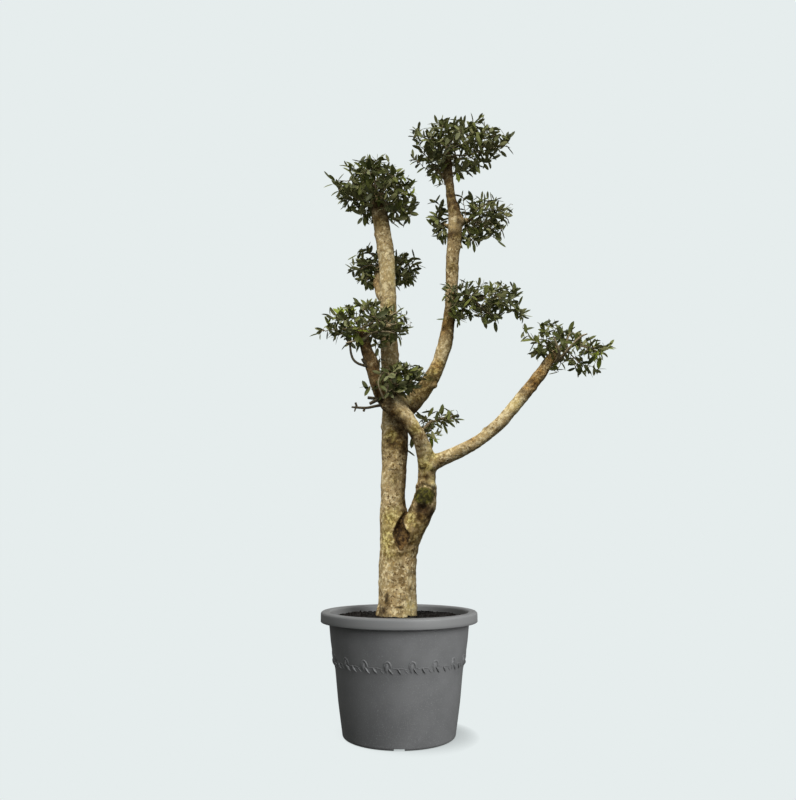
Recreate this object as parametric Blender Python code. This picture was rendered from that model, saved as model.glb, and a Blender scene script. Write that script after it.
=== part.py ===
"""Olive tree trained into separate rounded pads of foliage, in a round rimmed pot.

Metres, +Z up. The origin is the centre of the pot's flat underside, and -Y is the side the tree
shows its crossing limb on. Every limb is one tapering solid, every pad of leaves one uneven solid.
"""

import math

import bmesh
import bpy
from mathutils import Matrix, Vector, noise

GAP = 0.0004  # clearance between two pieces that meet
BACK = Vector((0.0, 1.0, 0.0))

# Pot
POT_SEGMENTS = 32
RIM_RADIUS = 0.300
RIM_TOP = 0.447
RIM_DEPTH = 0.038
RIM_ROUNDING = 0.009
WALL = 0.005
WALL_OUTLINE = (  # height and outer radius, from the foot up to the rim
    (0.055, 0.2190),
    (0.126, 0.2295),
    (0.240, 0.2418),
    (0.284, 0.2516),
    (0.343, 0.2610),
    (RIM_TOP - RIM_DEPTH, 0.2680),
)
BASE_RADIUS = 0.2125
BASE_ROUNDING = 0.012
RECESS_HEIGHT = 0.008
RECESS_INNER = 0.080
RECESS_OUTER = 0.170
FLOOR_TOP = 0.016
NOTCHES = 4
NOTCH_WIDTH = 0.042
DRAIN_HOLES = 6
DRAIN_RADIUS = 0.011
DRAIN_CIRCLE = 0.125
DRAIN_SIDES = 8

# Soil
SOIL_TOP = 0.420

# Limbs: each bend is x, y, z and the limb's radius there
TRUNK_SIDES = 12
LIMB_SIDES = 10
SPUR_SIDES = 8
RING_STEPS = 2  # rings from one bend to the next
KNOBBLE = 0.10  # unevenness of a limb, as a part of its radius
KNOBBLE_PITCH = 9.0  # lumps for each metre of limb

GROUND = SOIL_TOP + GAP
TRUNK_AND_LEFT_STEM = (
    (-0.009, 0.000, GROUND, 0.0820),
    (-0.007, 0.000, 0.480, 0.0765),
    (-0.008, 0.000, 0.640, 0.0700),
    (-0.018, 0.000, 0.757, 0.0600),
    (-0.024, 0.000, 0.900, 0.0485),
    (-0.017, 0.000, 1.080, 0.0560),
    (-0.020, 0.002, 1.240, 0.0500),
    (-0.033, 0.015, 1.364, 0.0415),
    (-0.043, 0.020, 1.560, 0.0365),
    (-0.046, 0.006, 1.760, 0.0358),
    (-0.058, 0.000, 1.930, 0.0352),
    (-0.083, 0.000, 2.080, 0.0362),
    (-0.094, 0.000, 2.175, 0.0300),
)
TRUNK_FORK = 6  # the bend where the trunk gives way to the left stem
SIDE_STEM_AND_CROSS_LIMB = (
    (0.012, -0.012, 0.640, 0.0400),
    (0.047, -0.020, 0.740, 0.0470),
    (0.097, -0.026, 0.852, 0.0480),
    (0.109, -0.035, 0.945, 0.0370),
    (0.104, -0.055, 1.040, 0.0350),
    (0.076, -0.095, 1.118, 0.0300),
    (0.023, -0.105, 1.193, 0.0312),
    (-0.042, -0.082, 1.252, 0.0425),
    (-0.092, -0.088, 1.345, 0.0290),
    (-0.128, -0.096, 1.460, 0.0248),
    (-0.156, -0.100, 1.545, 0.0200),
)
SIDE_STEM_FORK = 4
PRUNED_HEAD = 7
RIGHT_STEM = (
    (-0.012, 0.018, 1.200, 0.0400),
    (0.034, 0.050, 1.255, 0.0410),
    (0.091, 0.068, 1.320, 0.0375),
    (0.151, 0.070, 1.410, 0.0320),
    (0.192, 0.070, 1.526, 0.0290),
    (0.221, 0.060, 1.700, 0.0280),
    (0.228, 0.050, 1.900, 0.0282),
    (0.246, 0.050, 2.070, 0.0335),
    (0.228, 0.050, 2.172, 0.0218),
    (0.218, 0.050, 2.290, 0.0197),
    (0.212, 0.050, 2.395, 0.0175),
)
RIGHT_STEM_BEND = 4
RIGHT_STEM_COLLAR = 7
ARM = (
    (0.104, -0.050, 1.000, 0.0330),
    (0.161, -0.051, 1.028, 0.0300),
    (0.250, -0.060, 1.066, 0.0260),
    (0.357, -0.070, 1.133, 0.0255),
    (0.462, -0.070, 1.249, 0.0258),
    (0.565, -0.070, 1.376, 0.0250),
    (0.645, -0.070, 1.482, 0.0190),
)
ARM_BEND = 3
BEHIND_LIMB = (
    (-0.046, 0.012, 1.680, 0.0250),
    (-0.074, 0.045, 1.735, 0.0220),
    (-0.094, 0.082, 1.805, 0.0196),
    (-0.084, 0.115, 1.885, 0.0160),
)
SPURS = {  # short branches: foot and tip, each x, y, z and radius
    "middle_right_spur": ((0.215, 0.055, 1.690, 0.0150), (0.318, 0.010, 1.708, 0.0100)),
    "upper_right_spur": ((0.240, 0.050, 2.060, 0.0190), (0.315, 0.072, 2.092, 0.0120)),
    "upper_left_spur": ((0.236, 0.052, 2.045, 0.0110), (0.188, 0.112, 2.090, 0.0080)),
    "top_left_spur": ((0.222, 0.050, 2.235, 0.0110), (0.166, 0.055, 2.325, 0.0080)),
    "centre_spur": ((-0.040, -0.085, 1.250, 0.0150), (-0.010, -0.100, 1.318, 0.0110)),
    "low_spur": ((0.070, -0.098, 1.120, 0.0100), (0.124, -0.040, 1.180, 0.0070)),
}

# Pads of foliage: centre, reaches to the front and back, and reaches in centimetres to each hour
# of a clock face seen from the front, from twelve o'clock round to eleven
PAD_FINENESS = 3
PAD_LUMPS = 0.12
PAD_LUMP_PITCH = 1.7
PADS = {
    "pad_top": ((0.278, 0.050, 2.415), 0.18, 0.18, (12, 14, 20, 23, 14, 12, 12, 15, 18, 22, 21, 13)),
    "pad_upper_right": ((0.363, 0.080, 2.102), 0.12, 0.13, (11, 12, 12, 15, 13, 15, 12, 14, 11, 11, 11, 11)),
    "pad_upper_left": ((0.177, 0.125, 2.101), 0.08, 0.10, (13, 10, 6, 5, 6, 9, 10, 9, 6, 5, 6, 10)),
    "pad_middle_right": ((0.378, 0.000, 1.692), 0.14, 0.15, (9, 9, 12, 15, 17, 11, 12, 9, 13, 14, 14, 10)),
    "pad_left_top": ((-0.099, 0.000, 2.193), 0.16, 0.16, (15, 14, 14, 16, 20, 18, 14, 15, 14, 21, 19, 14)),
    "pad_left_middle": ((-0.066, 0.125, 1.887), 0.10, 0.14, (10, 11, 14, 18, 14, 12, 9, 12, 15, 16, 16, 12)),
    "pad_left_low": ((-0.133, -0.085, 1.569), 0.13, 0.11, (10, 11, 15, 18, 15, 11, 9, 12, 17, 21, 15, 11)),
    "pad_centre": ((-0.004, -0.105, 1.334), 0.09, 0.09, (8, 8, 11, 12, 10, 7, 6, 7, 8, 8, 8, 7)),
    "pad_far_right": ((0.667, -0.070, 1.484), 0.15, 0.15, (9, 9, 13, 20, 18, 15, 9, 12, 13, 18, 16, 12)),
    "pad_low": ((0.150, -0.015, 1.190), 0.07, 0.08, (7, 8, 8, 12, 9, 8, 9, 9, 9, 7, 7, 7)),
}

BARK = ("bark", (0.42, 0.33, 0.20), 0.9)
LEAVES = ("leaves", (0.055, 0.085, 0.035), 0.6)
PLASTIC = ("pot_plastic", (0.115, 0.118, 0.122), 0.55)
COMPOST = ("compost", (0.020, 0.015, 0.010), 1.0)


def clear_scene():
    for thing in list(bpy.data.objects):
        bpy.data.objects.remove(thing, do_unlink=True)


def material(name, colour, roughness):
    """One plain finish, made the first time it is asked for."""
    finish = bpy.data.materials.get(name)
    if finish is None:
        finish = bpy.data.materials.new(name)
        finish.use_nodes = True
        shader = finish.node_tree.nodes["Principled BSDF"]
        shader.inputs["Base Color"].default_value = (*colour, 1.0)
        shader.inputs["Roughness"].default_value = roughness
        shader.inputs["Metallic"].default_value = 0.0
    return finish


def add_object(name, shape, finish=None):
    """Turn a bmesh into a named object; without a finish it is a hidden cutter."""
    mesh = bpy.data.meshes.new(name)
    shape.to_mesh(mesh)
    shape.free()
    piece = bpy.data.objects.new(name, mesh)
    bpy.context.scene.collection.objects.link(piece)
    if finish is None:
        piece.hide_render = True
        piece.display_type = "WIRE"
    else:
        mesh.materials.append(material(*finish))
        mesh.shade_smooth()
        mesh.set_sharp_from_angle(angle=math.radians(35))
    return piece


def cut(piece, cutter):
    """Take the cutter's space out of the piece."""
    change = piece.modifiers.new("cut_" + cutter.name, "BOOLEAN")
    change.operation = "DIFFERENCE"
    change.solver = "EXACT"
    change.object = cutter


def boxes_meet(one, other):
    """Whether the boxes round two uncut objects overlap."""
    for axis in range(3):
        a = [corner[axis] for corner in one.bound_box]
        b = [corner[axis] for corner in other.bound_box]
        if max(a) < min(b) or max(b) < min(a):
            return False
    return True


# ---------------------------------------------------------------- pot and soil


def turn_profile(outline):
    """Spin an outline of (radius, height) points, which starts and ends on the axis, into a solid."""
    shape = bmesh.new()
    corners = [shape.verts.new((radius, 0.0, height)) for radius, height in outline]
    edges = [shape.edges.new(pair) for pair in zip(corners, corners[1:])]
    bmesh.ops.spin(
        shape,
        geom=corners + edges,
        cent=(0.0, 0.0, 0.0),
        axis=(0.0, 0.0, 1.0),
        angle=2.0 * math.pi,
        steps=POT_SEGMENTS,
        use_merge=True,
    )
    bmesh.ops.remove_doubles(shape, verts=shape.verts, dist=0.00001)
    bmesh.ops.recalc_face_normals(shape, faces=shape.faces)
    return shape


def quarter_round(centre_radius, centre_height, rounding, start_angle, steps=2):
    """Points on a quarter circle in the profile's plane, running anticlockwise from start_angle."""
    points = []
    for step in range(steps + 1):
        angle = math.radians(start_angle + 90.0 * step / steps)
        points.append((
            centre_radius + rounding * math.cos(angle),
            centre_height + rounding * math.sin(angle),
        ))
    return points


def wall_radius(height):
    """Outer radius of the pot's wall at a height, read from its outline."""
    outline = ((BASE_ROUNDING, BASE_RADIUS),) + WALL_OUTLINE
    for (low, low_radius), (high, high_radius) in zip(outline, outline[1:]):
        if height <= high:
            return low_radius + (high_radius - low_radius) * (height - low) / (high - low)
    return outline[-1][1]


def make_pot():
    """Tapered pot with a broad rounded rim, a notched ring foot, and drain holes in its floor."""
    neck_radius = WALL_OUTLINE[-1][1]
    inner_radius = neck_radius - WALL
    outline = [
        (0.0, 0.0),
        (RECESS_INNER, 0.0),
        (RECESS_INNER, RECESS_HEIGHT),
        (RECESS_OUTER, RECESS_HEIGHT),
        (RECESS_OUTER, 0.0),
    ]
    outline += quarter_round(BASE_RADIUS - BASE_ROUNDING, BASE_ROUNDING, BASE_ROUNDING, -90.0)
    outline += [(radius, height) for height, radius in WALL_OUTLINE]
    outline.append((RIM_RADIUS, RIM_TOP - RIM_DEPTH))
    outline += quarter_round(RIM_RADIUS - RIM_ROUNDING, RIM_TOP - RIM_ROUNDING, RIM_ROUNDING, 0.0)
    outline += quarter_round(inner_radius + RIM_ROUNDING, RIM_TOP - RIM_ROUNDING, RIM_ROUNDING, 90.0)
    outline += [(radius - WALL, height) for height, radius in reversed(WALL_OUTLINE)]
    outline.append((wall_radius(FLOOR_TOP) - WALL, FLOOR_TOP))
    outline.append((0.0, FLOOR_TOP))
    pot = add_object("pot", turn_profile(outline), PLASTIC)

    notch_inner = (RECESS_INNER + RECESS_OUTER) / 2.0
    length = BASE_RADIUS + BASE_ROUNDING - notch_inner
    middle = notch_inner + length / 2.0
    for index in range(NOTCHES):
        notch = bmesh.new()
        bmesh.ops.create_cube(notch, size=1.0)
        bmesh.ops.scale(notch, verts=notch.verts, vec=(NOTCH_WIDTH, length, 2.0 * RECESS_HEIGHT))
        bmesh.ops.translate(notch, verts=notch.verts, vec=(0.0, -middle, 0.0))
        notch.transform(Matrix.Rotation(2.0 * math.pi * index / NOTCHES, 4, "Z"))
        cut(pot, add_object(f"notch_cutter_{index + 1}", notch))

    for index in range(DRAIN_HOLES):
        hole = bmesh.new()
        bmesh.ops.create_cone(
            hole,
            cap_ends=True,
            segments=DRAIN_SIDES,
            radius1=DRAIN_RADIUS,
            radius2=DRAIN_RADIUS,
            depth=2.0 * FLOOR_TOP,
        )
        bmesh.ops.translate(hole, verts=hole.verts, vec=(DRAIN_CIRCLE, 0.0, FLOOR_TOP))
        hole.transform(Matrix.Rotation(2.0 * math.pi * (index + 0.5) / DRAIN_HOLES, 4, "Z"))
        cut(pot, add_object(f"drain_cutter_{index + 1}", hole))


def make_soil():
    """Compost that fills the pot, level with the trunk's flat cut."""
    outline = [(0.0, FLOOR_TOP + GAP), (wall_radius(FLOOR_TOP) - WALL - 2.0 * GAP, FLOOR_TOP + GAP)]
    for height, radius in WALL_OUTLINE[:-1]:
        outline.append((radius - WALL - GAP, height))
    outline.append((wall_radius(SOIL_TOP) - WALL - GAP, SOIL_TOP))
    outline.append((0.0, SOIL_TOP))
    add_object("soil", turn_profile(outline), COMPOST)


# ---------------------------------------------------------------- limbs


def between(p, q, r, s, t):
    """The value at t between q and r, on the smooth curve through p, q, r and s."""
    return 0.5 * (2 * q + (r - p) * t + (2 * p - 5 * q + 4 * r - s) * t**2 + (3 * q - p - 3 * r + s) * t**3)


def smooth_route(bends):
    """Centre points with their radii, on one smooth curve through a limb's bends."""
    ends = (bends[0],) + tuple(bends) + (bends[-1],)
    route = []
    for before, here, there, after in zip(ends, ends[1:], ends[2:], ends[3:]):
        for step in range(RING_STEPS):
            corners = zip(before, here, there, after)
            route.append([between(*values, step / RING_STEPS) for values in corners])
    route.append(list(bends[-1]))
    return route


def tube(route, first, last, sides, swell, start_shift, end_shift):
    """Closed tapering tube along part of a route, with its radius swollen and its ends shifted."""
    shape = bmesh.new()
    rings = []
    for index in range(first, last + 1):
        radius = route[index][3]
        centre = Vector(route[index][:3])
        ahead = Vector(route[min(index + 1, len(route) - 1)][:3])
        behind = Vector(route[max(index - 1, 0)][:3])
        heading = (ahead - behind).normalized()
        if index == 0 and abs(heading.z) > 0.99:
            heading = Vector((0.0, 0.0, 1.0))  # the flat cut at the ground is level
        across = heading.cross(BACK).normalized()
        outward = across.cross(heading)
        shift = start_shift if index == first else end_shift if index == last else 0.0
        ring = []
        for side in range(sides):
            turn = 2.0 * math.pi * side / sides
            spoke = across * math.cos(turn) + outward * math.sin(turn)
            lump = 1.0 + KNOBBLE * noise.noise(centre * KNOBBLE_PITCH + spoke)
            ring.append(shape.verts.new(centre + heading * shift + spoke * (radius * lump + swell)))
        rings.append(ring)
    for low, high in zip(rings, rings[1:]):
        for side in range(sides):
            beside = (side + 1) % sides
            shape.faces.new((low[side], low[beside], high[beside]))
            shape.faces.new((low[side], high[beside], high[side]))
    shape.faces.new(reversed(rings[0]))
    shape.faces.new(rings[-1])
    bmesh.ops.recalc_face_normals(shape, faces=shape.faces)
    return shape


def make_limbs(bends, names, breaks, sides, cutters, parents=()):
    """Make the pieces of one limb, end to end, each cut where it grows out of its parents.

    breaks are the bends where one piece ends and the next begins. Each piece's own cutter, a little
    larger than the piece, joins the others in cutters.
    """
    route = smooth_route(bends)
    stops = [0] + [RING_STEPS * bend for bend in breaks] + [len(route) - 1]
    for name, first, last in zip(names, stops, stops[1:]):
        start_shift = GAP if first else 0.0
        piece = add_object(name, tube(route, first, last, sides, 0.0, start_shift, 0.0), BARK)
        for parent in parents:
            if boxes_meet(piece, cutters[parent]):
                cut(piece, cutters[parent])
    for name, first, last in zip(names, stops, stops[1:]):
        cutters[name] = add_object("clear_of_" + name, tube(route, first, last, sides, GAP, -GAP, GAP))


def make_tree_limbs(cutters):
    make_limbs(
        TRUNK_AND_LEFT_STEM, ("trunk", "left_stem"), (TRUNK_FORK,), TRUNK_SIDES, cutters
    )
    make_limbs(
        SIDE_STEM_AND_CROSS_LIMB,
        ("side_stem", "cross_limb", "left_limb"),
        (SIDE_STEM_FORK, PRUNED_HEAD),
        LIMB_SIDES,
        cutters,
        parents=("trunk", "left_stem"),
    )
    make_limbs(
        RIGHT_STEM,
        ("right_stem_lower", "right_stem_upper", "right_leader"),
        (RIGHT_STEM_BEND, RIGHT_STEM_COLLAR),
        LIMB_SIDES,
        cutters,
        parents=("trunk", "left_stem"),
    )
    make_limbs(
        ARM,
        ("arm_inner", "arm_outer"),
        (ARM_BEND,),
        LIMB_SIDES,
        cutters,
        parents=("side_stem", "cross_limb"),
    )
    make_limbs(BEHIND_LIMB, ("behind_limb",), (), LIMB_SIDES, cutters, parents=("left_stem",))
    stems = tuple(cutters)
    for name, ends in SPURS.items():
        make_limbs(ends, (name,), (), SPUR_SIDES, cutters, parents=stems)


# ---------------------------------------------------------------- pads of foliage


def reach_towards(reaches, direction):
    """A pad's reach, in metres, towards a direction seen from the front, between two clock hours."""
    hour = math.degrees(math.atan2(direction.x, direction.z)) % 360.0 / 30.0
    before = int(hour) % 12
    after = (before + 1) % 12
    share = hour - int(hour)
    return ((1.0 - share) * reaches[before] + share * reaches[after]) / 100.0


def make_pad(name, centre, front, back, reaches, seed, cutters):
    """One closed uneven mass of foliage, hollowed where limbs enter it."""
    shape = bmesh.new()
    bmesh.ops.create_icosphere(shape, subdivisions=PAD_FINENESS, radius=1.0)
    for vert in shape.verts:
        direction = vert.co.normalized()
        reach = reach_towards(reaches, direction)
        depth = front if direction.y < 0.0 else back
        lump = 1.0 + PAD_LUMPS * noise.noise(direction * PAD_LUMP_PITCH + Vector((seed, seed, seed)))
        vert.co = Vector(centre) + lump * Vector((
            direction.x * reach,
            direction.y * depth,
            direction.z * reach,
        ))
    pad = add_object(name, shape, LEAVES)
    for cutter in cutters.values():
        if boxes_meet(pad, cutter):
            cut(pad, cutter)


def main():
    clear_scene()
    make_pot()
    make_soil()
    cutters = {}
    make_tree_limbs(cutters)
    for seed, (name, (centre, front, back, reaches)) in enumerate(PADS.items(), start=1):
        make_pad(name, centre, front, back, reaches, seed, cutters)


main()
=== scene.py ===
"""Olive tree trained into rounded pads of foliage, standing in a rimmed plastic pot.

Metres, +Z up. The origin is the middle of the pot's flat underside, and the front is -Y.
"""

import math

import bmesh
import bpy
import numpy as np
from mathutils import Matrix, Vector, noise
from mathutils.bvhtree import BVHTree


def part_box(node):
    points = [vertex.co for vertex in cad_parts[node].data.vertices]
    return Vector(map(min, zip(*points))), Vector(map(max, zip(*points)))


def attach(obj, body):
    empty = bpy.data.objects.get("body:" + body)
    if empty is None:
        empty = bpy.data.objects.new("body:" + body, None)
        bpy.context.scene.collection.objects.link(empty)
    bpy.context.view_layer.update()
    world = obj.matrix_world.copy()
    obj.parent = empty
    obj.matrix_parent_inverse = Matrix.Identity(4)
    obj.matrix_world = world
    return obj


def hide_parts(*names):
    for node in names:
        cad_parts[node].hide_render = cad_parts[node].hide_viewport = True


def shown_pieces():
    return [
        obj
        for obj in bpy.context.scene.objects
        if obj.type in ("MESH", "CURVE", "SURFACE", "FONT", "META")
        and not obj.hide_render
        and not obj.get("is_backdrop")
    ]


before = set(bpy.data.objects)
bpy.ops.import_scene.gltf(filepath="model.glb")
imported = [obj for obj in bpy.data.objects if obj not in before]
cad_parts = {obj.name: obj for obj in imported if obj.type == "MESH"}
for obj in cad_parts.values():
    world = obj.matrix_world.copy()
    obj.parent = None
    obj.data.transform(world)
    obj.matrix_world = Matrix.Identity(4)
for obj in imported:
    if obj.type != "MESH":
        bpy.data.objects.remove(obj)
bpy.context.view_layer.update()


# ---------------------------------------------------------------- pot
# A nursery pot moulded in one shot from dark grey plastic: a thin tapered wall, a broad rim folded
# over and open underneath, a ring foot with four drainage slots, and six holes in its floor.

POT_FACETS = 192
POT_WALL = 0.005
POT_OUTSIDE = (  # height and outer radius, from the foot up to the rim
    (0.020, 0.2135), (0.055, 0.2190), (0.126, 0.2295), (0.240, 0.2418), (0.284, 0.2516), (0.343, 0.2610),
    (0.409, 0.2680),
)
RIM_RAISED = 0.004  # how far the rim's rounded top rises over the CAD's
RIM_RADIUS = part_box("pot")[1].x
RIM_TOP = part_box("pot")[1].z + RIM_RAISED
RIM_SKIRT = 0.038
RIM_ROUNDING = 0.009
UNDER_RIM = 0.005
UNDER_RIM_ROUNDING = 0.004
FLOOR_BEVEL = 0.004
FOOT_RADIUS = 0.2125
FOOT_ROUNDING = 0.012
FOOT_EDGE = 0.002
RECESS = (0.080, 0.170)
RECESS_HEIGHT = 0.008
POT_FLOOR = 0.016
DRAIN_SLOTS = 4
DRAIN_SLOT_WIDTH = 0.038
DRAIN_HOLES = 6
DRAIN_HOLE_RADIUS = 0.011
DRAIN_HOLE_CIRCLE = 0.125


def wall_radius(height):
    """The outer radius of the pot's wall at a height, on straight lines between its named rings."""
    heights, radii = zip(*POT_OUTSIDE)
    return float(np.interp(height, heights, radii))


def arc(centre, radius, start, end, steps=5):
    """Points of an arc in the pot's section, from one angle in degrees to another."""
    angles = np.radians(np.linspace(start, end, steps + 1))
    return [(centre[0] + radius * math.cos(a), centre[1] + radius * math.sin(a)) for a in angles]


def in_order(shape):
    """Lists a bmesh's faces by the numbers of their corners, as a spin lists them anew each run."""
    shape.verts.index_update()
    numbers = {face: [vert.index for vert in face.verts] for face in shape.faces}
    step = 1 + max(sum(corners) for corners in numbers.values())
    shape.faces.sort(key=lambda face: step * min(numbers[face]) + sum(numbers[face]))


def turned(section, facets):
    """A closed solid turned round the upright axis from a section that starts and ends on it."""
    solid = bmesh.new()
    corners = [solid.verts.new((radius, 0.0, height)) for radius, height in section]
    edges = [solid.edges.new(pair) for pair in zip(corners, corners[1:])]
    turn = {"cent": (0.0, 0.0, 0.0), "axis": (0.0, 0.0, 1.0), "angle": 2.0 * math.pi}
    bmesh.ops.spin(solid, geom=corners + edges, steps=facets, use_merge=True, **turn)
    bmesh.ops.remove_doubles(solid, verts=solid.verts, dist=0.00001)
    bmesh.ops.recalc_face_normals(solid, faces=solid.faces)
    in_order(solid)
    return solid


def new_piece(name, shape, *finishes):
    """An object at the origin from a bmesh, which it uses up, or from a mesh."""
    if isinstance(shape, bmesh.types.BMesh):
        mesh = bpy.data.meshes.new(name)
        shape.to_mesh(mesh)
        shape.free()
    else:
        mesh = shape
        mesh.name = name
    for finish in finishes:
        mesh.materials.append(finish)
    piece = bpy.data.objects.new(name, mesh)
    bpy.context.scene.collection.objects.link(piece)
    return piece


def applied(piece):
    """The mesh of a piece as its modifiers leave it."""
    graph = bpy.context.evaluated_depsgraph_get()
    return bpy.data.meshes.new_from_object(piece.evaluated_get(graph))


def cut_away(piece, *cutters):
    """Takes each cutter out of a piece and deletes the cutter."""
    for shape in cutters:
        cutter = new_piece("cutter", shape)
        knife = piece.modifiers.new("cut", "BOOLEAN")
        knife.object = cutter
        knife.solver = "EXACT"
        knife.operation = "DIFFERENCE"
        result = applied(piece)
        piece.modifiers.clear()
        piece.data = result
        bpy.data.objects.remove(cutter)


def smoothed(piece, crease=35.0):
    """Smooth shading, with edges over this angle kept sharp."""
    piece.data.shade_smooth()
    piece.data.set_sharp_from_angle(angle=math.radians(crease))


def tone(red, green, blue):
    """A colour from screen values of 0 to 255, as shaders take it."""
    screen = [value / 255.0 for value in (red, green, blue)]
    linear = [v / 12.92 if v <= 0.04045 else ((v + 0.055) / 1.055) ** 2.4 for v in screen]
    return (*linear, 1.0)


def add_node(tree, kind, sockets=None, **settings):
    """A shader node with its settings made and its sockets given a value or another node's socket."""
    made = tree.nodes.new(kind)
    for name, value in settings.items():
        setattr(made, name, value)
    for socket, value in (sockets or {}).items():
        if isinstance(value, bpy.types.NodeSocket):
            tree.links.new(value, made.inputs[socket])
        else:
            made.inputs[socket].default_value = value
    return made


def mixed(tree, share, first, second):
    """The socket of a colour that goes from first to second with share."""
    mix = add_node(tree, "ShaderNodeMix", {0: share, 6: first, 7: second}, data_type="RGBA")
    return mix.outputs[2]


def stepped(tree, value, low, high):
    """A socket that goes smoothly from 0 to 1 while value goes from low to high."""
    span = {"Value": value, "From Min": low, "From Max": high}
    return add_node(tree, "ShaderNodeMapRange", span, interpolation_type="SMOOTHSTEP").outputs["Result"]


def grain(tree, place, pitch, detail=3.0, roughness=0.55):
    """The socket of a noise whose lumps are about pitch apart."""
    sockets = {"Vector": place, "Scale": 1.0 / pitch, "Detail": detail, "Roughness": roughness}
    return add_node(tree, "ShaderNodeTexNoise", sockets).outputs["Fac"]


def started_finish(name, roughness, gloss=0.5):
    """A new material, its node tree and the place it reads patterns at."""
    finish = bpy.data.materials.new(name)
    finish.use_nodes = True
    tree = finish.node_tree
    surface = tree.nodes["Principled BSDF"]
    surface.inputs["Roughness"].default_value = roughness
    surface.inputs["Specular IOR Level"].default_value = gloss
    place = add_node(tree, "ShaderNodeTexCoord").outputs["Object"]
    return finish, tree, place


def coated(tree, colour, height=None, strength=0.0, depth=0.0):
    """Gives a material the colour of a socket, and the fine relief of another if there is one."""
    surface = tree.nodes["Principled BSDF"]
    tree.links.new(colour, surface.inputs["Base Color"])
    if height is not None:
        relief = {"Height": height, "Strength": strength, "Distance": depth}
        rough = add_node(tree, "ShaderNodeBump", relief)
        tree.links.new(rough.outputs["Normal"], surface.inputs["Normal"])


def pot_plastic():
    """Dark grey moulded plastic with a fine matt grain, faint flow marks, a dusty bloom and a rim painted
    lighter as a highlight.
    """
    finish, tree, place = started_finish("pot_plastic", 0.5, 0.4)
    clouds = stepped(tree, grain(tree, place, 0.11), 0.35, 0.68)
    speck = grain(tree, place, 0.0035, detail=2.0)
    height = add_node(tree, "ShaderNodeSeparateXYZ", {0: place}).outputs["Z"]
    low = mixed(tree, clouds, tone(94, 95, 96), tone(101, 102, 103))
    high = mixed(tree, clouds, tone(102, 103, 104), tone(110, 111, 112))
    base = mixed(tree, stepped(tree, height, 0.02, 0.34), low, high)
    # The rim's band is painted a lighter grey: a painted highlight for the light on its face.
    painted_rim_highlight = stepped(tree, height, RIM_TOP - RIM_SKIRT, RIM_TOP - RIM_SKIRT + 0.012)
    base = mixed(tree, painted_rim_highlight, base, tone(124, 125, 125))
    colour = mixed(tree, stepped(tree, speck, 0.56, 0.72), base, tone(120, 122, 123))
    coated(tree, colour, grain(tree, place, 0.0022, detail=2.0), 0.22, 0.0006)
    return finish


def pot_section():
    """Half the pot's section, from the middle of the underside round to the middle of the floor."""
    skirt_foot = RIM_TOP - RIM_SKIRT
    neck = wall_radius(skirt_foot)
    under_rim = RIM_TOP - POT_WALL
    inside = neck - POT_WALL
    lip = POT_WALL / 2.0
    section = [(0.0, 0.0), (RECESS[0] - FOOT_EDGE, 0.0), (RECESS[0], FOOT_EDGE)]
    section += [(RECESS[0], RECESS_HEIGHT), (RECESS[1], RECESS_HEIGHT)]
    section += [(RECESS[1], FOOT_EDGE), (RECESS[1] + FOOT_EDGE, 0.0)]
    section += arc((FOOT_RADIUS - FOOT_ROUNDING, FOOT_ROUNDING), FOOT_ROUNDING, -90.0, 0.0)
    heights = np.linspace(POT_OUTSIDE[0][0], skirt_foot, 24)
    section += [(wall_radius(height), height) for height in heights]
    inner = (neck + UNDER_RIM, under_rim - UNDER_RIM_ROUNDING)
    section += arc(inner, UNDER_RIM_ROUNDING, 180.0, 90.0, 3)
    section += arc((RIM_RADIUS - POT_WALL - UNDER_RIM, under_rim - UNDER_RIM), UNDER_RIM, 90.0, 0.0, 3)
    section += arc((RIM_RADIUS - lip, skirt_foot + lip), lip, 180.0, 360.0, 6)
    section += arc((RIM_RADIUS - RIM_ROUNDING, RIM_TOP - RIM_ROUNDING), RIM_ROUNDING, 0.0, 90.0, 6)
    section += arc((inside + RIM_ROUNDING, RIM_TOP - RIM_ROUNDING), RIM_ROUNDING, 90.0, 180.0, 6)
    section += [(wall_radius(height) - POT_WALL, height) for height in reversed(heights)]
    floor_edge = wall_radius(POT_OUTSIDE[0][0]) - POT_WALL - FLOOR_BEVEL
    section += [(floor_edge, POT_FLOOR), (0.0, POT_FLOOR)]
    return section


def drain_cutters():
    """Blocks for the slots through the foot, and plugs for the holes in the floor."""
    inner = sum(RECESS) / 2.0
    length = FOOT_RADIUS + FOOT_ROUNDING - inner
    for index in range(DRAIN_SLOTS):
        block = bmesh.new()
        bmesh.ops.create_cube(block, size=1.0)
        bmesh.ops.scale(block, verts=block.verts, vec=(DRAIN_SLOT_WIDTH, length, 2.0 * RECESS_HEIGHT))
        bmesh.ops.translate(block, verts=block.verts, vec=(0.0, -inner - length / 2.0, 0.0))
        block.transform(Matrix.Rotation(2.0 * math.pi * index / DRAIN_SLOTS, 4, "Z"))
        yield block
    for index in range(DRAIN_HOLES):
        plug = bmesh.new()
        ends = {"radius1": DRAIN_HOLE_RADIUS, "radius2": DRAIN_HOLE_RADIUS, "depth": 2.0 * POT_FLOOR}
        bmesh.ops.create_cone(plug, cap_ends=True, segments=24, **ends)
        bmesh.ops.translate(plug, verts=plug.verts, vec=(DRAIN_HOLE_CIRCLE, 0.0, POT_FLOOR))
        plug.transform(Matrix.Rotation(2.0 * math.pi * (index + 0.5) / DRAIN_HOLES, 4, "Z"))
        yield plug


plastic = pot_plastic()
pot = new_piece("plastic_pot", turned(pot_section(), POT_FACETS), plastic)
cut_away(pot, *drain_cutters())
smoothed(pot)
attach(pot, "root")
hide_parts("pot")


# ---------------------------------------------------------------- garland on the pot
# A band of low relief moulded with the wall: eighteen leaning loops of ribbon, each with a
# short twist and three small leaves, joined by one thin line that runs round the pot.

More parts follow.
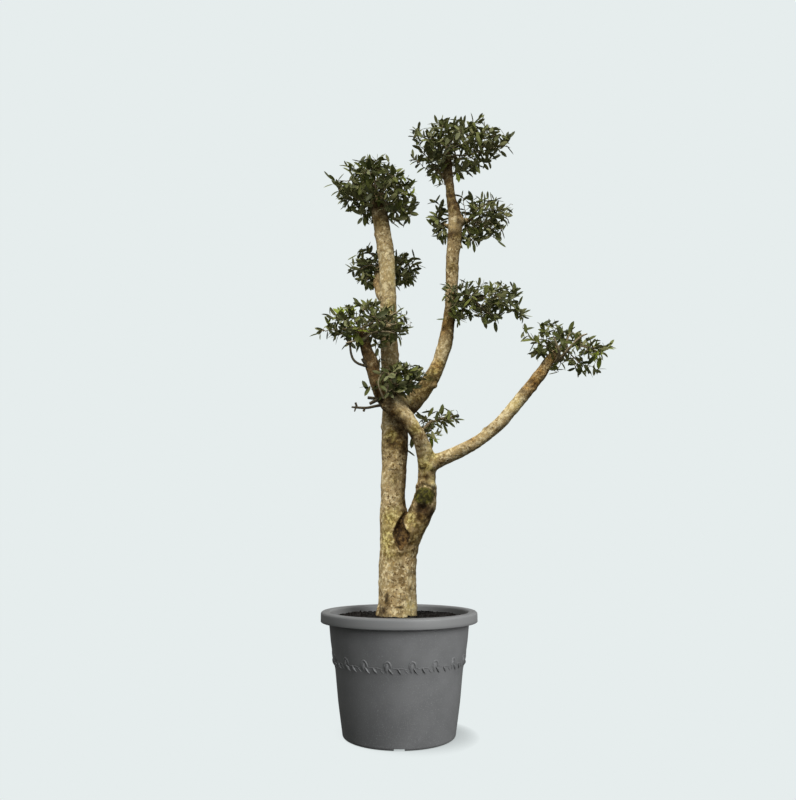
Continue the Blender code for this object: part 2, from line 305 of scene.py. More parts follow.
GARLAND_HEIGHT = 0.287
GARLAND_REPEATS = 18
GARLAND_TURN = 0.18
GARLAND_SIDES = 8
GARLAND_STROKES = (  # how proud each stroke is for its half width, then its points across and up
    # in millimetres, with its half width there
    (0.58, ((-12, -8, 1.6), (-11, 3, 2.8), (-6, 12, 3.2), (1, 15, 3.4), (8, 11, 3.6), (12, 3, 3.6),
            (13, -7, 2.4))),
    (0.50, ((0, -24, 2.0), (-3, -15, 6.0), (-3, -3, 7.0), (0, 7, 4.0))),
    (1.60, ((4, -8, 1.2), (9, -13, 3.0), (14, -20, 3.2), (21, -28, 1.0))),
    (1.60, ((36, -8, 1.2), (40, -13, 2.8), (45, -20, 3.2), (51, -28, 1.0))),
    (0.80, ((14, -4, 1.0), (24, -8, 1.6), (38, -8, 1.8), (54, -8, 1.7), (70, -12, 1.2))),
    (0.80, ((-26, -13, 1.0), (-20, -19, 2.3), (-13, -26, 1.0))),
)


def metres(rows):
    """Rows of lengths in millimetres as rows of lengths in metres."""
    return [[length / 1000.0 for length in row] for row in rows]


def between(before, start, end, after, share):
    """A point on the smooth curve through four points, from start to end."""
    return 0.5 * (
        2.0 * start
        + (end - before) * share
        + (2.0 * before - 5.0 * start + 4.0 * end - after) * share**2
        + (3.0 * start - before - 3.0 * end + after) * share**3
    )


def smooth_line(points, steps):
    """Points of a smooth curve through the given ones, with this many steps for each stretch."""
    points = np.array(points, float)
    ends = np.vstack([2.0 * points[0] - points[1], points, 2.0 * points[-1] - points[-2]])
    line = []
    for i in range(len(points) - 1):
        for step in range(steps):
            line.append(between(ends[i], ends[i + 1], ends[i + 2], ends[i + 3], step / steps))
    line.append(points[-1])
    return np.array(line)


def swept(shape, line, radii, sides, flatten=1.0, flat_axis=None):
    """Adds a tube with closed ends along a line, thinner across flat_axis if one is given."""
    line = [Vector(p) for p in line]
    rings = []
    across = None
    for i, middle in enumerate(line):
        ahead = (line[min(i + 1, len(line) - 1)] - line[max(i - 1, 0)]).normalized()
        guide = flat_axis or across or ahead.orthogonal()
        up = (guide - ahead * guide.dot(ahead)).normalized()
        across = up
        side = ahead.cross(up)
        matrix = Matrix((side, up * flatten, ahead)).transposed().to_4x4()
        matrix.translation = middle
        ring = bmesh.ops.create_circle(shape, segments=sides, radius=radii[i], matrix=matrix)
        rings.append(ring["verts"])
    for ring, following in zip(rings, rings[1:]):
        for j in range(sides):
            shape.faces.new((ring[j], ring[(j + 1) % sides], following[(j + 1) % sides], following[j]))
    shape.faces.new(list(reversed(rings[0])))
    shape.faces.new(rings[-1])


def whole(shape):
    """Every part of a bmesh."""
    return shape.verts[:] + shape.edges[:] + shape.faces[:]


def only(kind, parts):
    """The parts of one kind, verts or faces, from a list of a bmesh's parts."""
    return [part for part in parts if isinstance(part, kind)]


def garland_relief():
    """All the strokes of one repeat laid flat, then wrapped round the wall once for each repeat."""
    flat = bmesh.new()
    for rise, stroke in GARLAND_STROKES:
        line = smooth_line([(x, 0.0, z) for x, z, _ in metres(stroke)], 4)
        widths = smooth_line([(width,) for _, _, width in metres(stroke)], 4)[:, 0]
        swept(flat, line, widths, GARLAND_SIDES, rise, Vector((0.0, 1.0, 0.0)))
    bmesh.ops.recalc_face_normals(flat, faces=flat.faces)
    for vert in flat.verts:
        height = GARLAND_HEIGHT + vert.co.z
        radius = wall_radius(height) - vert.co.y
        turn = GARLAND_TURN + vert.co.x / wall_radius(GARLAND_HEIGHT)
        vert.co = Vector((radius * math.sin(turn), -radius * math.cos(turn), height))
    one = whole(flat)
    for index in range(1, GARLAND_REPEATS):
        copied = only(bmesh.types.BMVert, bmesh.ops.duplicate(flat, geom=one)["geom"])
        turn = Matrix.Rotation(2.0 * math.pi * index / GARLAND_REPEATS, 3, "Z")
        bmesh.ops.rotate(flat, cent=(0.0, 0.0, 0.0), matrix=turn, verts=copied)
    return flat


garland = new_piece("pot_garland", garland_relief(), plastic)
smoothed(garland, 60.0)
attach(garland, "root")


# ---------------------------------------------------------------- soil
# Dark compost up to a few centimetres under the rim, a little heaped against the trunk, with loose crumbs
# lying on it.

SOIL_RAISED = 0.008  # how far the crumbly surface rises over the CAD's
SOIL_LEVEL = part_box("soil")[1].z + SOIL_RAISED
SOIL_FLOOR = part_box("soil")[0].z
SOIL_RING = 0.006
SOIL_FACETS = 150
SOIL_GAP = 0.0008
HEAP = (0.006, 0.085, 0.045)  # height, distance from the middle and width of the heap at the trunk
CLOD = (0.0045, 24.0)  # height of the uneven level's lumps, and how many to a metre
CRUMBLE = (0.002, 90.0)
CRUMB_SEED = 11
CRUMBS = 1500
CRUMB_SIZES = (0.0016, 0.0060)


def compost_finish():
    """Near black peat with brown fibres, damp and without gloss."""
    finish, tree, place = started_finish("compost", 0.95, 0.2)
    fibre = grain(tree, place, 0.006, detail=6.0, roughness=0.7)
    colour = mixed(tree, stepped(tree, fibre, 0.45, 0.75), tone(14, 12, 11), tone(40, 34, 28))
    coated(tree, colour, fibre, 0.8, 0.003)
    return finish


def soil_height(x, y):
    """The uneven level of the compost, heaped against the trunk and lower towards the wall."""
    away = math.hypot(x, y)
    heap = HEAP[0] * math.exp(-(((away - HEAP[1]) / HEAP[2]) ** 2))
    broad = noise.noise(Vector((x, y, 0.0)) * CLOD[1])
    fine = noise.noise(Vector((x, y, 3.0)) * CRUMBLE[1])
    clods = CLOD[0] * broad + CRUMBLE[0] * fine
    return SOIL_LEVEL + heap + clods - 0.002 * (away / 0.26) ** 4


def soil_body():
    """Compost that fills the pot, with an uneven top and crumbs pressed into it."""
    edge = wall_radius(SOIL_LEVEL) - POT_WALL - SOIL_GAP
    section = [(0.0, SOIL_FLOOR), (wall_radius(SOIL_FLOOR) - POT_WALL - 0.006, SOIL_FLOOR)]
    section += [(wall_radius(h) - POT_WALL - SOIL_GAP, h) for h in (0.03, 0.126, 0.24, 0.284, 0.343)]
    section += [(radius, SOIL_LEVEL) for radius in np.linspace(edge, 0.0, int(edge / SOIL_RING))]
    body = turned(section, SOIL_FACETS)
    for vert in body.verts:
        if vert.co.z > SOIL_LEVEL - SOIL_GAP:
            vert.co.z = soil_height(vert.co.x, vert.co.y)
    dice = np.random.default_rng(CRUMB_SEED)
    for _ in range(CRUMBS):
        away = math.sqrt(dice.uniform(0.0, 1.0)) * (edge - max(CRUMB_SIZES))
        turn = dice.uniform(0.0, 2.0 * math.pi)
        x, y = away * math.cos(turn), away * math.sin(turn)
        size = dice.uniform(*CRUMB_SIZES)
        stretch = Matrix.Diagonal((*dice.uniform(0.6, 1.6, 3), 1.0))
        lean = Matrix.Rotation(dice.uniform(0.0, 6.3), 4, Vector(dice.normal(size=3)).normalized())
        place = Matrix.Translation((x, y, soil_height(x, y) + 0.3 * size))
        bmesh.ops.create_icosphere(body, subdivisions=1, radius=size / 2.0, matrix=place @ lean @ stretch)
    return body


soil = new_piece("compost", soil_body(), compost_finish())
smoothed(soil, 50.0)
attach(soil, "root")
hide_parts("soil")


# ---------------------------------------------------------------- trunk, stems and boughs
# One living frame of olive wood: a stout trunk that forks low, a side stem that crosses over its
# front, two tall stems and a long arm. The bark is thin and pale, with flutes, flecks and scars.

LIMBS = (  # from the foot up, each after the limb that it grows from
    "trunk", "left_stem", "side_stem", "cross_limb", "left_limb", "right_stem_lower", "right_stem_upper",
    "right_leader", "arm_inner", "arm_outer", "behind_limb", "middle_right_spur", "upper_right_spur",
    "upper_left_spur", "top_left_spur", "centre_spur", "low_spur",
)
BARK_MESH = 0.0041
BARK_SMOOTHINGS = 24
SMOOTHED_OFF = 0.0008  # how much the smoothing thins the limbs
JOINT_SHARPNESS = 14.0  # how fast one limb's grain gives way to the next at a fork
FLUTE_HEIGHT = 0.0035
LUMP_HEIGHT = 0.0030
KNURL_HEIGHT = 0.0016
GRAIN_HEIGHT = 0.0011
CRACK_DEPTH = 0.0016
CRACK_SHARE = 0.20
WOUND = (  # the healed split where the trunk forks, in millimetres: height, left and right edge
    (826, 24, 31), (813, 10, 25), (798, 0, 15), (781, -9, 16), (764, -17, 23), (751, -20, 32),
    (736, -21, 39), (724, -19, 36), (711, -15, 28), (696, -8, 19), (682, 2, 10),
)
WOUND_DEPTH = 0.020
WOUND_RAGGED = 0.0035
WOUND_LIP = 0.003
KNOT = Vector((0.096, -0.072, 0.887))
KNOT_SIZE = Vector((0.050, 0.056, 0.038))
KNOT_HEIGHT = 0.007
KNOT_CREASE = 0.006
KNOT_COLLAR = 0.004
KNOT_HOLE = Vector((0.088, -0.066, 0.838))
KNOT_HOLE_SIZE = Vector((0.030, 0.040, 0.024))
KNOT_HOLE_DEPTH = 0.018
PATCH_DEPTH = 1.6  # how deep a patch reaches, in parts of its width
# Tints laid in patches: growths and stains of the bark, and painted shade and painted light where the limbs
# are shaded or lit.
PATCHES = {  # each tint's patches in millimetres: place, width and height
    # Pale bleached bark, and painted light on the lit sides and edges of the stems, the crossing limb and
    # the foot.
    "bleach_and_painted_light": (
        (240, 20, 2050, 36, 36), (-26, -25, 1835, 32, 80), (-40, -30, 1815, 110, 190),
        (-20, -20, 1810, 50, 110), (180, 45, 1500, 40, 90), (-40, -50, 1490, 50, 40),
        (-35, -50, 1450, 50, 50), (-20, -60, 1430, 30, 60), (0, -118, 1255, 36, 34),
        (455, -95, 1245, 70, 70), (400, -90, 1215, 100, 100), (46, -124, 1200, 40, 40),
        (-58, -44, 1175, 26, 70), (70, -122, 1168, 44, 56), (300, -85, 1120, 120, 60),
        (215, -83, 1058, 70, 34), (-58, -34, 965, 34, 70), (-40, -55, 621, 50, 30), (48, -48, 562, 30, 40),
        (-58, -49, 550, 34, 40), (55, -50, 480, 56, 90), (-5, -75, 440, 50, 34),
    ),
    # Painted shade on limbs shaded by the pads, under the crossing limb, on shaded sides and in creases,
    # and a few dark mottled spots on the arm.
    "shade": (
        (217, 33, 2340, 50, 50), (201, 41, 2268, 20, 30), (225, 30, 2184, 30, 26), (232, 26, 2145, 36, 30),
        (258, 30, 2130, 34, 80), (-87, -20, 2110, 90, 46), (306, 60, 2110, 34, 34),
        (180, 110, 2095, 34, 30), (262, 24, 2048, 22, 40), (220, 30, 2004, 34, 30), (-94, 65, 1850, 60, 55),
        (-90, 65, 1805, 44, 60), (-78, 95, 1800, 26, 90), (-72, 45, 1765, 26, 80), (240, 45, 1620, 36, 140),
        (-155, -115, 1500, 70, 70), (-129, -130, 1475, 70, 60), (-125, -115, 1440, 90, 90),
        (-118, -130, 1425, 60, 60), (-115, -116, 1410, 60, 44), (-106, -130, 1385, 60, 60),
        (-105, -115, 1380, 100, 90), (-98, -120, 1355, 70, 50), (530, -95, 1330, 26, 26),
        (-57, -115, 1330, 60, 50), (-85, -115, 1320, 110, 90), (540, -100, 1298, 20, 20),
        (490, -90, 1290, 24, 30), (-50, -115, 1290, 44, 50), (-66, -120, 1275, 90, 76),
        (515, -100, 1275, 22, 22), (445, -80, 1255, 24, 22), (-34, -122, 1254, 40, 28),
        (62, 25, 1240, 70, 24), (405, -80, 1210, 24, 22), (-40, -115, 1205, 50, 40),
        (445, -100, 1205, 30, 24), (-6, -48, 1182, 20, 24), (8, -118, 1165, 36, 36),
        (395, -100, 1150, 34, 24), (345, -80, 1150, 26, 20), (14, -38, 1132, 38, 56),
        (41, -119, 1130, 18, 18), (36, -116, 1130, 32, 36), (-17, -52, 1122, 30, 26),
        (-30, -45, 1100, 22, 50), (22, -30, 1080, 36, 60), (117, -79, 989, 20, 12), (107, -72, 962, 22, 20),
        (36, 0, 960, 30, 170), (32, -28, 860, 26, 60), (116, -58, 815, 38, 46), (78, -69, 810, 26, 22),
        (28, -60, 705, 24, 30),
    ),
    # Olive-green growth, and painted shade on the shaded sides of the trunk and stems and under the
    # crossing limb.
    "algae_and_painted_shade": (
        (226, 30, 2185, 40, 60), (237, 22, 2120, 40, 40), (-90, -25, 2030, 70, 40), (244, 25, 1998, 60, 36),
        (230, 25, 1860, 36, 30), (207, 38, 1620, 44, 100), (205, 55, 1490, 28, 90), (120, 40, 1385, 60, 50),
        (536, -93, 1340, 34, 24), (95, 30, 1330, 90, 80), (66, 22, 1285, 80, 60), (-5, -130, 1205, 36, 34),
        (26, -131, 1170, 30, 40), (54, -127, 1132, 26, 34), (-20, -50, 1100, 100, 80),
        (81, -69, 1021, 22, 20), (98, -74, 992, 36, 22), (117, -79, 989, 34, 18), (119, -77, 988, 30, 16),
        (108, -72, 965, 40, 44), (-20, -50, 950, 40, 50), (24, -30, 870, 40, 80), (12, -38, 812, 28, 30),
        (80, -68, 805, 50, 36), (-24, -56, 775, 22, 30), (70, -66, 775, 40, 36), (98, -55, 765, 40, 60),
        (55, -62, 735, 46, 50), (36, -55, 675, 36, 24), (-15, -67, 655, 40, 34),
    ),
    # Cream lichen and callus, and painted highlight on the lit edges of the left stem and the crossing
    # limb.
    "pale": (
        (-18, -15, 1800, 26, 100), (30, 0, 1286, 34, 22), (456, -94, 1243, 40, 40),
        (70, -120, 1166, 24, 30), (116, -93, 1073, 26, 26), (122, -88, 1048, 36, 44),
        (133, -67, 948, 20, 22), (130, -58, 932, 26, 16), (-22, -55, 818, 34, 28), (40, -70, 817, 14, 14),
        (30, -72, 790, 14, 36), (-52, -45, 775, 26, 28), (-46, -50, 732, 28, 26), (43, -52, 470, 34, 30),
        (42, -55, 438, 34, 30),
    ),
    "lichen": (
        (-36, -20, 1660, 34, 40), (166, 42, 1440, 30, 22), (150, 40, 1410, 34, 22),
        (66, -120, 1140, 30, 30), (-34, -52, 1130, 26, 30), (138, -80, 1052, 26, 50),
        (105, -70, 1010, 40, 40), (42, -62, 800, 26, 44), (-31, -60, 800, 50, 50), (-47, -55, 720, 44, 70),
    ),
    # Orange-brown bark, and painted shade on the limb behind the left stem.
    "ochre": (
        (-98, 80, 1770, 30, 60), (190, 40, 1600, 24, 70), (157, 35, 1435, 30, 40), (602, -90, 1426, 40, 34),
        (562, -94, 1378, 46, 44), (524, -94, 1325, 50, 56), (510, -94, 1308, 34, 26),
        (285, -90, 1105, 32, 20),
    ),
    "moss": ((600, -70, 1436, 26, 26), (132, 38, 1376, 24, 20)),
    # Dark stains, cracks and marks, and narrow painted shade along the crease under the crossing limb.
    "stain_and_painted_shade": (
        (253, 30, 2060, 14, 20), (529, -80, 1333, 14, 14), (500, -80, 1292, 12, 14),
        (17, -40, 1163, 14, 20), (85, -100, 1133, 10, 10), (48, -106, 1110, 18, 18),
        (-40, -45, 1107, 13, 15), (89, -75, 994, 18, 9), (-26, -50, 991, 20, 5), (34, -55, 832, 26, 16),
        (126, -55, 816, 24, 28), (3, -63, 692, 12, 13), (-46, -66, 500, 13, 34), (20, -80, 497, 16, 5),
        (3, -80, 470, 24, 6), (-62, -56, 452, 40, 36),
    ),
}
SCARS = (  # healed stubs, in millimetres: place, radius and how far they stand out
    (-79, 0, 1166, 14, 7), (-40, -52, 1107, 10, 3), (3, 10, 1469, 12, 6), (152, 45, 1345, 16, 18),
    (268, 40, 1956, 12, 7), (269, 40, 2068, 20, 9), (337, -68, 1146, 10, 6), (546, -80, 1300, 12, 6),
    (-108, 0, 1988, 12, 6), (135, -30, 850, 26, 5),
)
SWELLINGS = (  # in millimetres: place, how far round it, and how much fuller the wood is, or leaner
    # where that is less than 0
    (66, -20, 635, 80, 6), (66, -22, 668, 36, 3), (66, -10, 645, 45, 3), (-90, 70, 1725, 45, 6),
    (-78, -90, 1425, 50, 10), (32, -55, 1103, 42, 11), (150, -85, 1080, 40, 7), (225, -85, 1100, 60, 4),
    (205, -85, 985, 50, -4), (434, -90, 1160, 80, 4.5), (490, -90, 1220, 80, 4.5),
    (544, -90, 1280, 80, 4.5), (594, -90, 1345, 80, 4.5), (366, -90, 1220, 80, -4.5),
    (422, -90, 1280, 80, -4.5), (476, -90, 1340, 80, -4.5), (526, -90, 1405, 80, -4.5),
    (215, 50, 1520, 110, 4), (170, 50, 1370, 70, 3), (118, -50, 1010, 40, 4),
)


def merged(*nodes):
    """One bmesh of copies of CAD nodes, with their loose triangles joined up."""
    shape = bmesh.new()
    for node in nodes:
        shape.from_mesh(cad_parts[node].data)
    bmesh.ops.remove_doubles(shape, verts=shape.verts, dist=0.00002)
    return shape


def centre_line(node, spacing=0.012):
    """The middle of a limb from its lower to its upper end: points, directions, radii, distances."""
    limb = merged(node)
    corners = np.array([v.co for v in limb.verts])
    middle = corners.mean(axis=0)
    long_way = np.linalg.eigh(np.cov((corners - middle).T))[1][:, -1]
    if long_way[2] < 0.0:
        long_way = -long_way
    spread = (corners - middle) @ long_way
    points, radii = [], []
    for share in np.linspace(0.04, 0.96, 9):
        level = middle + long_way * (spread.min() + share * (spread.max() - spread.min()))
        rest = limb.copy()
        cut = bmesh.ops.bisect_plane(rest, geom=whole(rest), plane_co=level, plane_no=long_way)
        loop = np.array([corner.co for corner in only(bmesh.types.BMVert, cut["geom_cut"])])
        points.append(loop.mean(axis=0))
        radii.append(np.linalg.norm(loop - points[-1], axis=1).mean())
        rest.free()
    limb.free()
    points.insert(0, 2.0 * points[0] - points[1])
    points.append(2.0 * points[-1] - points[-2])
    radii = [radii[0], *radii, radii[-1]]
    length = np.linalg.norm(np.diff(points, axis=0), axis=1).sum()
    line = smooth_line(np.column_stack([points, radii]), max(2, round(length / spacing / 10)))
    ways = np.gradient(line[:, :3], axis=0)
    ways /= np.linalg.norm(ways, axis=1)[:, None]
    along = np.concatenate([[0.0], np.cumsum(np.linalg.norm(np.diff(line[:, :3], axis=0), axis=1))])
    return line[:, :3], ways, line[:, 3], along


def nearest(points, line, radii):
    """For each point, the closest place on a line and how many radii away that is."""
    place = np.zeros(len(points), int)
    score = np.full(len(points), np.inf)
    for k, (middle, radius) in enumerate(zip(line, radii)):
        far = np.linalg.norm(points - middle, axis=1) / radius
        closer = far < score
        place[closer] = k
        score[closer] = far[closer]
    return place, score


def bark_places(points, limbs):
    """Where each point is on its limb: across, across and along, run together where limbs meet."""
    lines = {}
    total = np.zeros_like(points)
    weight = np.zeros(len(points))
    girth = np.zeros(len(points))
    found = []
    for limb in limbs:
        line, ways, radii, along = centre_line(limb)
        start = 0.0
        if lines:
            gaps = {other: np.linalg.norm(lines[other][0] - line[0], axis=1) for other in lines}
            parent = min(gaps, key=lambda other: gaps[other].min())
            start = lines[parent][3][gaps[parent].argmin()]
        along = along + start
        lines[limb] = (line, ways, radii, along)
        place, score = nearest(points, line, radii)
        offset = points - line[place]
        forward = (offset * ways[place]).sum(axis=1)
        flat = offset - forward[:, None] * ways[place]
        upright = np.column_stack([flat[:, 0], flat[:, 1], along[place] + forward])
        lost = flat[:, 2]
        upright[:, 0] -= lost * ways[place][:, 0]
        upright[:, 1] -= lost * ways[place][:, 1]
        found.append((score, upright, radii[place]))
    best = np.min([score for score, _, _ in found], axis=0)
    for score, upright, radius in found:
        share = np.exp(-JOINT_SHARPNESS * (score - best))
        total += share[:, None] * upright
        girth += share * radius
        weight += share
    return total / weight[:, None], girth / weight, lines


def lumps(places, pitch, stretch=1.0, shift=0.0):
    """Noise of about -1 to 1 at each place, with lumps that are pitch wide and stretch as long."""
    scaled = (places + shift) / np.array([pitch, pitch, pitch * stretch])
    return np.array([noise.noise(Vector(p)) for p in scaled])


def bump(distance):
    """A smooth hump that is 1 at distance 0 and falls to 0 at distance 1."""
    inside = np.clip(1.0 - distance, 0.0, 1.0)
    return inside * inside * (3.0 - 2.0 * inside)


def offsets(points, centre, size):
    """Where points are from a centre, in parts of a size along each axis."""
    return (points - np.array(centre)) / np.array(size)


def wound_inside(points):
    """How far points lie inside the split's edges, in metres, and less than 0 outside them."""
    heights, left, right = np.array(metres(WOUND))[::-1].T
    height = np.clip(points[:, 2], heights[0], heights[-1])
    sideways = np.minimum(
        points[:, 0] - np.interp(height, heights, left),
        np.interp(height, heights, right) - points[:, 0],
    )
    inside = np.minimum(sideways, np.minimum(points[:, 2] - heights[0], heights[-1] - points[:, 2]))
    ragged = WOUND_RAGGED * lumps(points, 0.014, stretch=1.3, shift=2.0)
    return np.where(points[:, 1] < 0.0, inside + ragged, -1.0)


def bark_relief(points, normals, places, girth):
    """Moves the smooth limbs' skin out and in for flutes, lumps, cracks, scars, split and knot."""
    thick = np.clip(girth / 0.06, 0.35, 1.2)
    rise = FLUTE_HEIGHT * thick * lumps(places, 0.030, stretch=7.0)
    rise += LUMP_HEIGHT * thick * lumps(points, 0.075)
    rise += KNURL_HEIGHT * lumps(points, 0.026, shift=5.0)
    rise += GRAIN_HEIGHT * lumps(places, 0.012, stretch=1.4, shift=9.0)
    cracks = 1.0 - np.abs(lumps(places, 0.014, stretch=3.4, shift=2.0))
    rise -= CRACK_DEPTH * thick * np.clip((cracks - (1.0 - CRACK_SHARE)) / CRACK_SHARE, 0.0, 1.0)
    for *place, radius, out in metres(SCARS):
        far = np.linalg.norm(points - np.array(place), axis=1)
        rise += out * bump(far / (1.5 * radius))
        rise -= 0.5 * out * bump(far / (0.5 * radius))
    for *place, radius, out in metres(SWELLINGS):
        rise += out * bump(np.linalg.norm(points - np.array(place), axis=1) / radius)

    inside = wound_inside(points)
    rise -= WOUND_DEPTH * np.clip(inside / 0.010, 0.0, 1.0)
    rise += WOUND_LIP * bump(np.abs(inside + 0.008) / 0.012)

    knot = offsets(points, KNOT, KNOT_SIZE)
    knot_far = np.linalg.norm(knot, axis=1) + 0.16 * lumps(points, 0.020, shift=6.0)
    rise += KNOT_HEIGHT * bump(knot_far / 1.05) * (1.0 + 0.6 * lumps(points, 0.012, shift=8.0))
    above = np.clip(knot[:, 2], 0.0, 1.0)
    rise -= KNOT_CREASE * above * bump(np.abs(knot_far - 1.04) / 0.20)
    rise += KNOT_COLLAR * above * bump(np.abs(knot_far - 1.38) / 0.40)
    hole = offsets(points, KNOT_HOLE, KNOT_HOLE_SIZE)
    rise -= KNOT_HOLE_DEPTH * bump(np.linalg.norm(hole, axis=1))
    return points + normals * rise[:, None]


# The shade tint and parts of the others are painted shade and painted light.
BARK_TINTS = {  # each tint's share at its strongest and its two shades, in the order they lie
    "algae_and_painted_shade": (0.80, (138, 119, 66), (82, 66, 28)),
    "shade": (0.90, (86, 61, 22), (50, 32, 7)),
    "bleach_and_painted_light": (0.80, (238, 222, 180), (182, 160, 114)),
    "pale": (0.90, (236, 222, 172), (204, 184, 126)),
    "lichen": (0.84, (216, 202, 130), (110, 94, 40)),
    "ochre": (0.85, (176, 138, 78), (104, 78, 42)),
    "moss": (0.96, (92, 90, 28), (42, 42, 10)),
    "stain_and_painted_shade": (0.94, (58, 38, 12), (30, 19, 6)),
    "wound": (0.96, (116, 90, 52), (46, 30, 14)),
}


def bark_tints(points):
    """How much of each tint each point of the bark has, from 0 to 1: growths and stains, and painted shade
    and painted light.
    """
    tints = {name: np.zeros(len(points)) for name in BARK_TINTS}
    ragged = 0.35 * lumps(points, 0.018, shift=3.0) + 0.25 * lumps(points, 0.007, shift=4.0)
    inside = wound_inside(points) + 0.004 * ragged
    knot = np.linalg.norm(offsets(points, KNOT, KNOT_SIZE), axis=1)
    hole = np.linalg.norm(offsets(points, KNOT_HOLE, KNOT_HOLE_SIZE), axis=1)
    # The split is tinted inside with a dark line along its edge, and the knot's hole is darkened with
    # painted shade.
    grown = [("wound", inside / 0.006 + 0.4), ("stain_and_painted_shade", 1.6 - np.abs(inside - 0.001) / 0.004)]
    grown += [("moss", 4.2 - 4.0 * knot + 2.0 * ragged), ("stain_and_painted_shade", 2.6 - 2.4 * hole + ragged)]
    for kind, patches in PATCHES.items():
        for *place, width, height in metres(patches):
            far = np.linalg.norm(offsets(points, place, (width, PATCH_DEPTH * width, height)), axis=1)
            grown.append((kind, bump(np.clip(far * 0.8 + ragged, 0.0, 9.0))))
    for kind, amount in grown:
        tints[kind] = np.maximum(tints[kind], np.clip(amount, 0.0, 1.0))
    return tints


def reckoned(tree, operation, first, second):
    """The socket of a product or a sum of two values or sockets."""
    return add_node(tree, "ShaderNodeMath", {0: first, 1: second}, operation=operation).outputs[0]


def shifted(tree, place, away, squeeze=1.0):
    """The pattern place moved, so that a second noise differs from the first, and squeezed along."""
    moved = {"Vector": place, "Location": (away, away, away), "Scale": (1.0, 1.0, squeeze)}
    return add_node(tree, "ShaderNodeMapping", moved).outputs["Vector"]


def bark_finish():
    """Thin pale olive bark: a crust of cream and brown grains, what grows on it, and painted shade and
    painted light from its tints.
    """
    finish, tree, place = started_finish("olive_bark", 0.86, 0.25)
    on_limb = add_node(tree, "ShaderNodeAttribute", attribute_name="bark_place").outputs["Vector"]
    broad = grain(tree, on_limb, 0.070, detail=3.0)
    streak = grain(tree, shifted(tree, on_limb, 5.0, 0.3), 0.018, detail=4.0, roughness=0.6)
    blotch = grain(tree, shifted(tree, place, 3.0), 0.034, detail=4.0, roughness=0.68)
    crust = grain(tree, shifted(tree, place, 7.0), 0.0165, detail=4.0, roughness=0.70)
    pits = grain(tree, shifted(tree, place, 9.0), 0.0090, detail=2.0, roughness=0.6)
    grains = grain(tree, shifted(tree, place, 11.0), 0.0060, detail=2.0, roughness=0.6)

    colour = mixed(tree, stepped(tree, broad, 0.38, 0.62), tone(190, 169, 128), tone(160, 138, 98))
    colour = mixed(tree, stepped(tree, streak, 0.56, 0.74), colour, tone(138, 116, 80))
    colour = mixed(tree, stepped(tree, blotch, 0.51, 0.60), colour, tone(128, 106, 68))
    colour = mixed(tree, stepped(tree, crust, 0.52, 0.60), colour, tone(225, 208, 167))
    colour = mixed(tree, stepped(tree, pits, 0.56, 0.64), colour, tone(92, 72, 42))

    for name, (share, light, dark) in BARK_TINTS.items():
        amount = add_node(tree, "ShaderNodeAttribute", attribute_name=name).outputs["Fac"]
        shade = mixed(tree, stepped(tree, crust, 0.44, 0.58), tone(*dark), tone(*light))
        colour = mixed(tree, reckoned(tree, "MULTIPLY", amount, share), colour, shade)
    light_grains = reckoned(tree, "MULTIPLY", stepped(tree, grains, 0.55, 0.64), 0.5)
    sockets = {0: light_grains, 6: colour, 7: tone(255, 238, 190)}
    lightened = add_node(tree, "ShaderNodeMix", sockets, data_type="RGBA", blend_type="SOFT_LIGHT")
    coated(tree, lightened.outputs[2], reckoned(tree, "ADD", crust, grains), 0.6, 0.0030)
    return finish


def vectors(items, name):
    """The named vector of every item of a mesh, one in each row."""
    flat = np.zeros(len(items) * 3, np.float32)
    items.foreach_get(name, flat)
    return flat.reshape(-1, 3).astype(float)


def wood_mesh(limbs):
    """The limbs grown into one skin, rounded, and given their bark."""
    rough = new_piece("rough_wood", merged(*limbs))
    skin = rough.modifiers.new("skin", "REMESH")
    skin.mode = "VOXEL"
    skin.voxel_size = BARK_MESH
    mesh = applied(rough)
    bpy.data.objects.remove(rough)

    shape = bmesh.new()
    shape.from_mesh(mesh)
    every_way = {"use_axis_x": True, "use_axis_y": True, "use_axis_z": True}
    for _ in range(BARK_SMOOTHINGS):
        bmesh.ops.smooth_vert(shape, verts=shape.verts, factor=0.5, **every_way)
    shape.to_mesh(mesh)
    shape.free()

    points = vectors(mesh.vertices, "co")
    normals = vectors(mesh.vertex_normals, "vector")
    places, girth, lines = bark_places(points, limbs)
    points = points + SMOOTHED_OFF * normals
    for name, amount in bark_tints(points).items():
        mesh.attributes.new(name, "FLOAT", "POINT").data.foreach_set("value", amount.astype(np.float32))
    where = mesh.attributes.new("bark_place", "FLOAT_VECTOR", "POINT")
    where.data.foreach_set("vector", places.astype(np.float32).ravel())
    shaped = bark_relief(points, normals, places, girth)
    mesh.vertices.foreach_set("co", shaped.astype(np.float32).ravel())
    mesh.update()
    mesh.shade_smooth()
    return mesh, lines


wood, limb_lines = wood_mesh(LIMBS)
wood_piece = new_piece("trunk_and_boughs", wood, bark_finish())
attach(wood_piece, "root")
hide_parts(*LIMBS)


# ---------------------------------------------------------------- bare twigs and stubs
# Short dark leafless twigs left on the pruned head and on the limbs, and a few thin pale ones that cross in
# front of the stems.

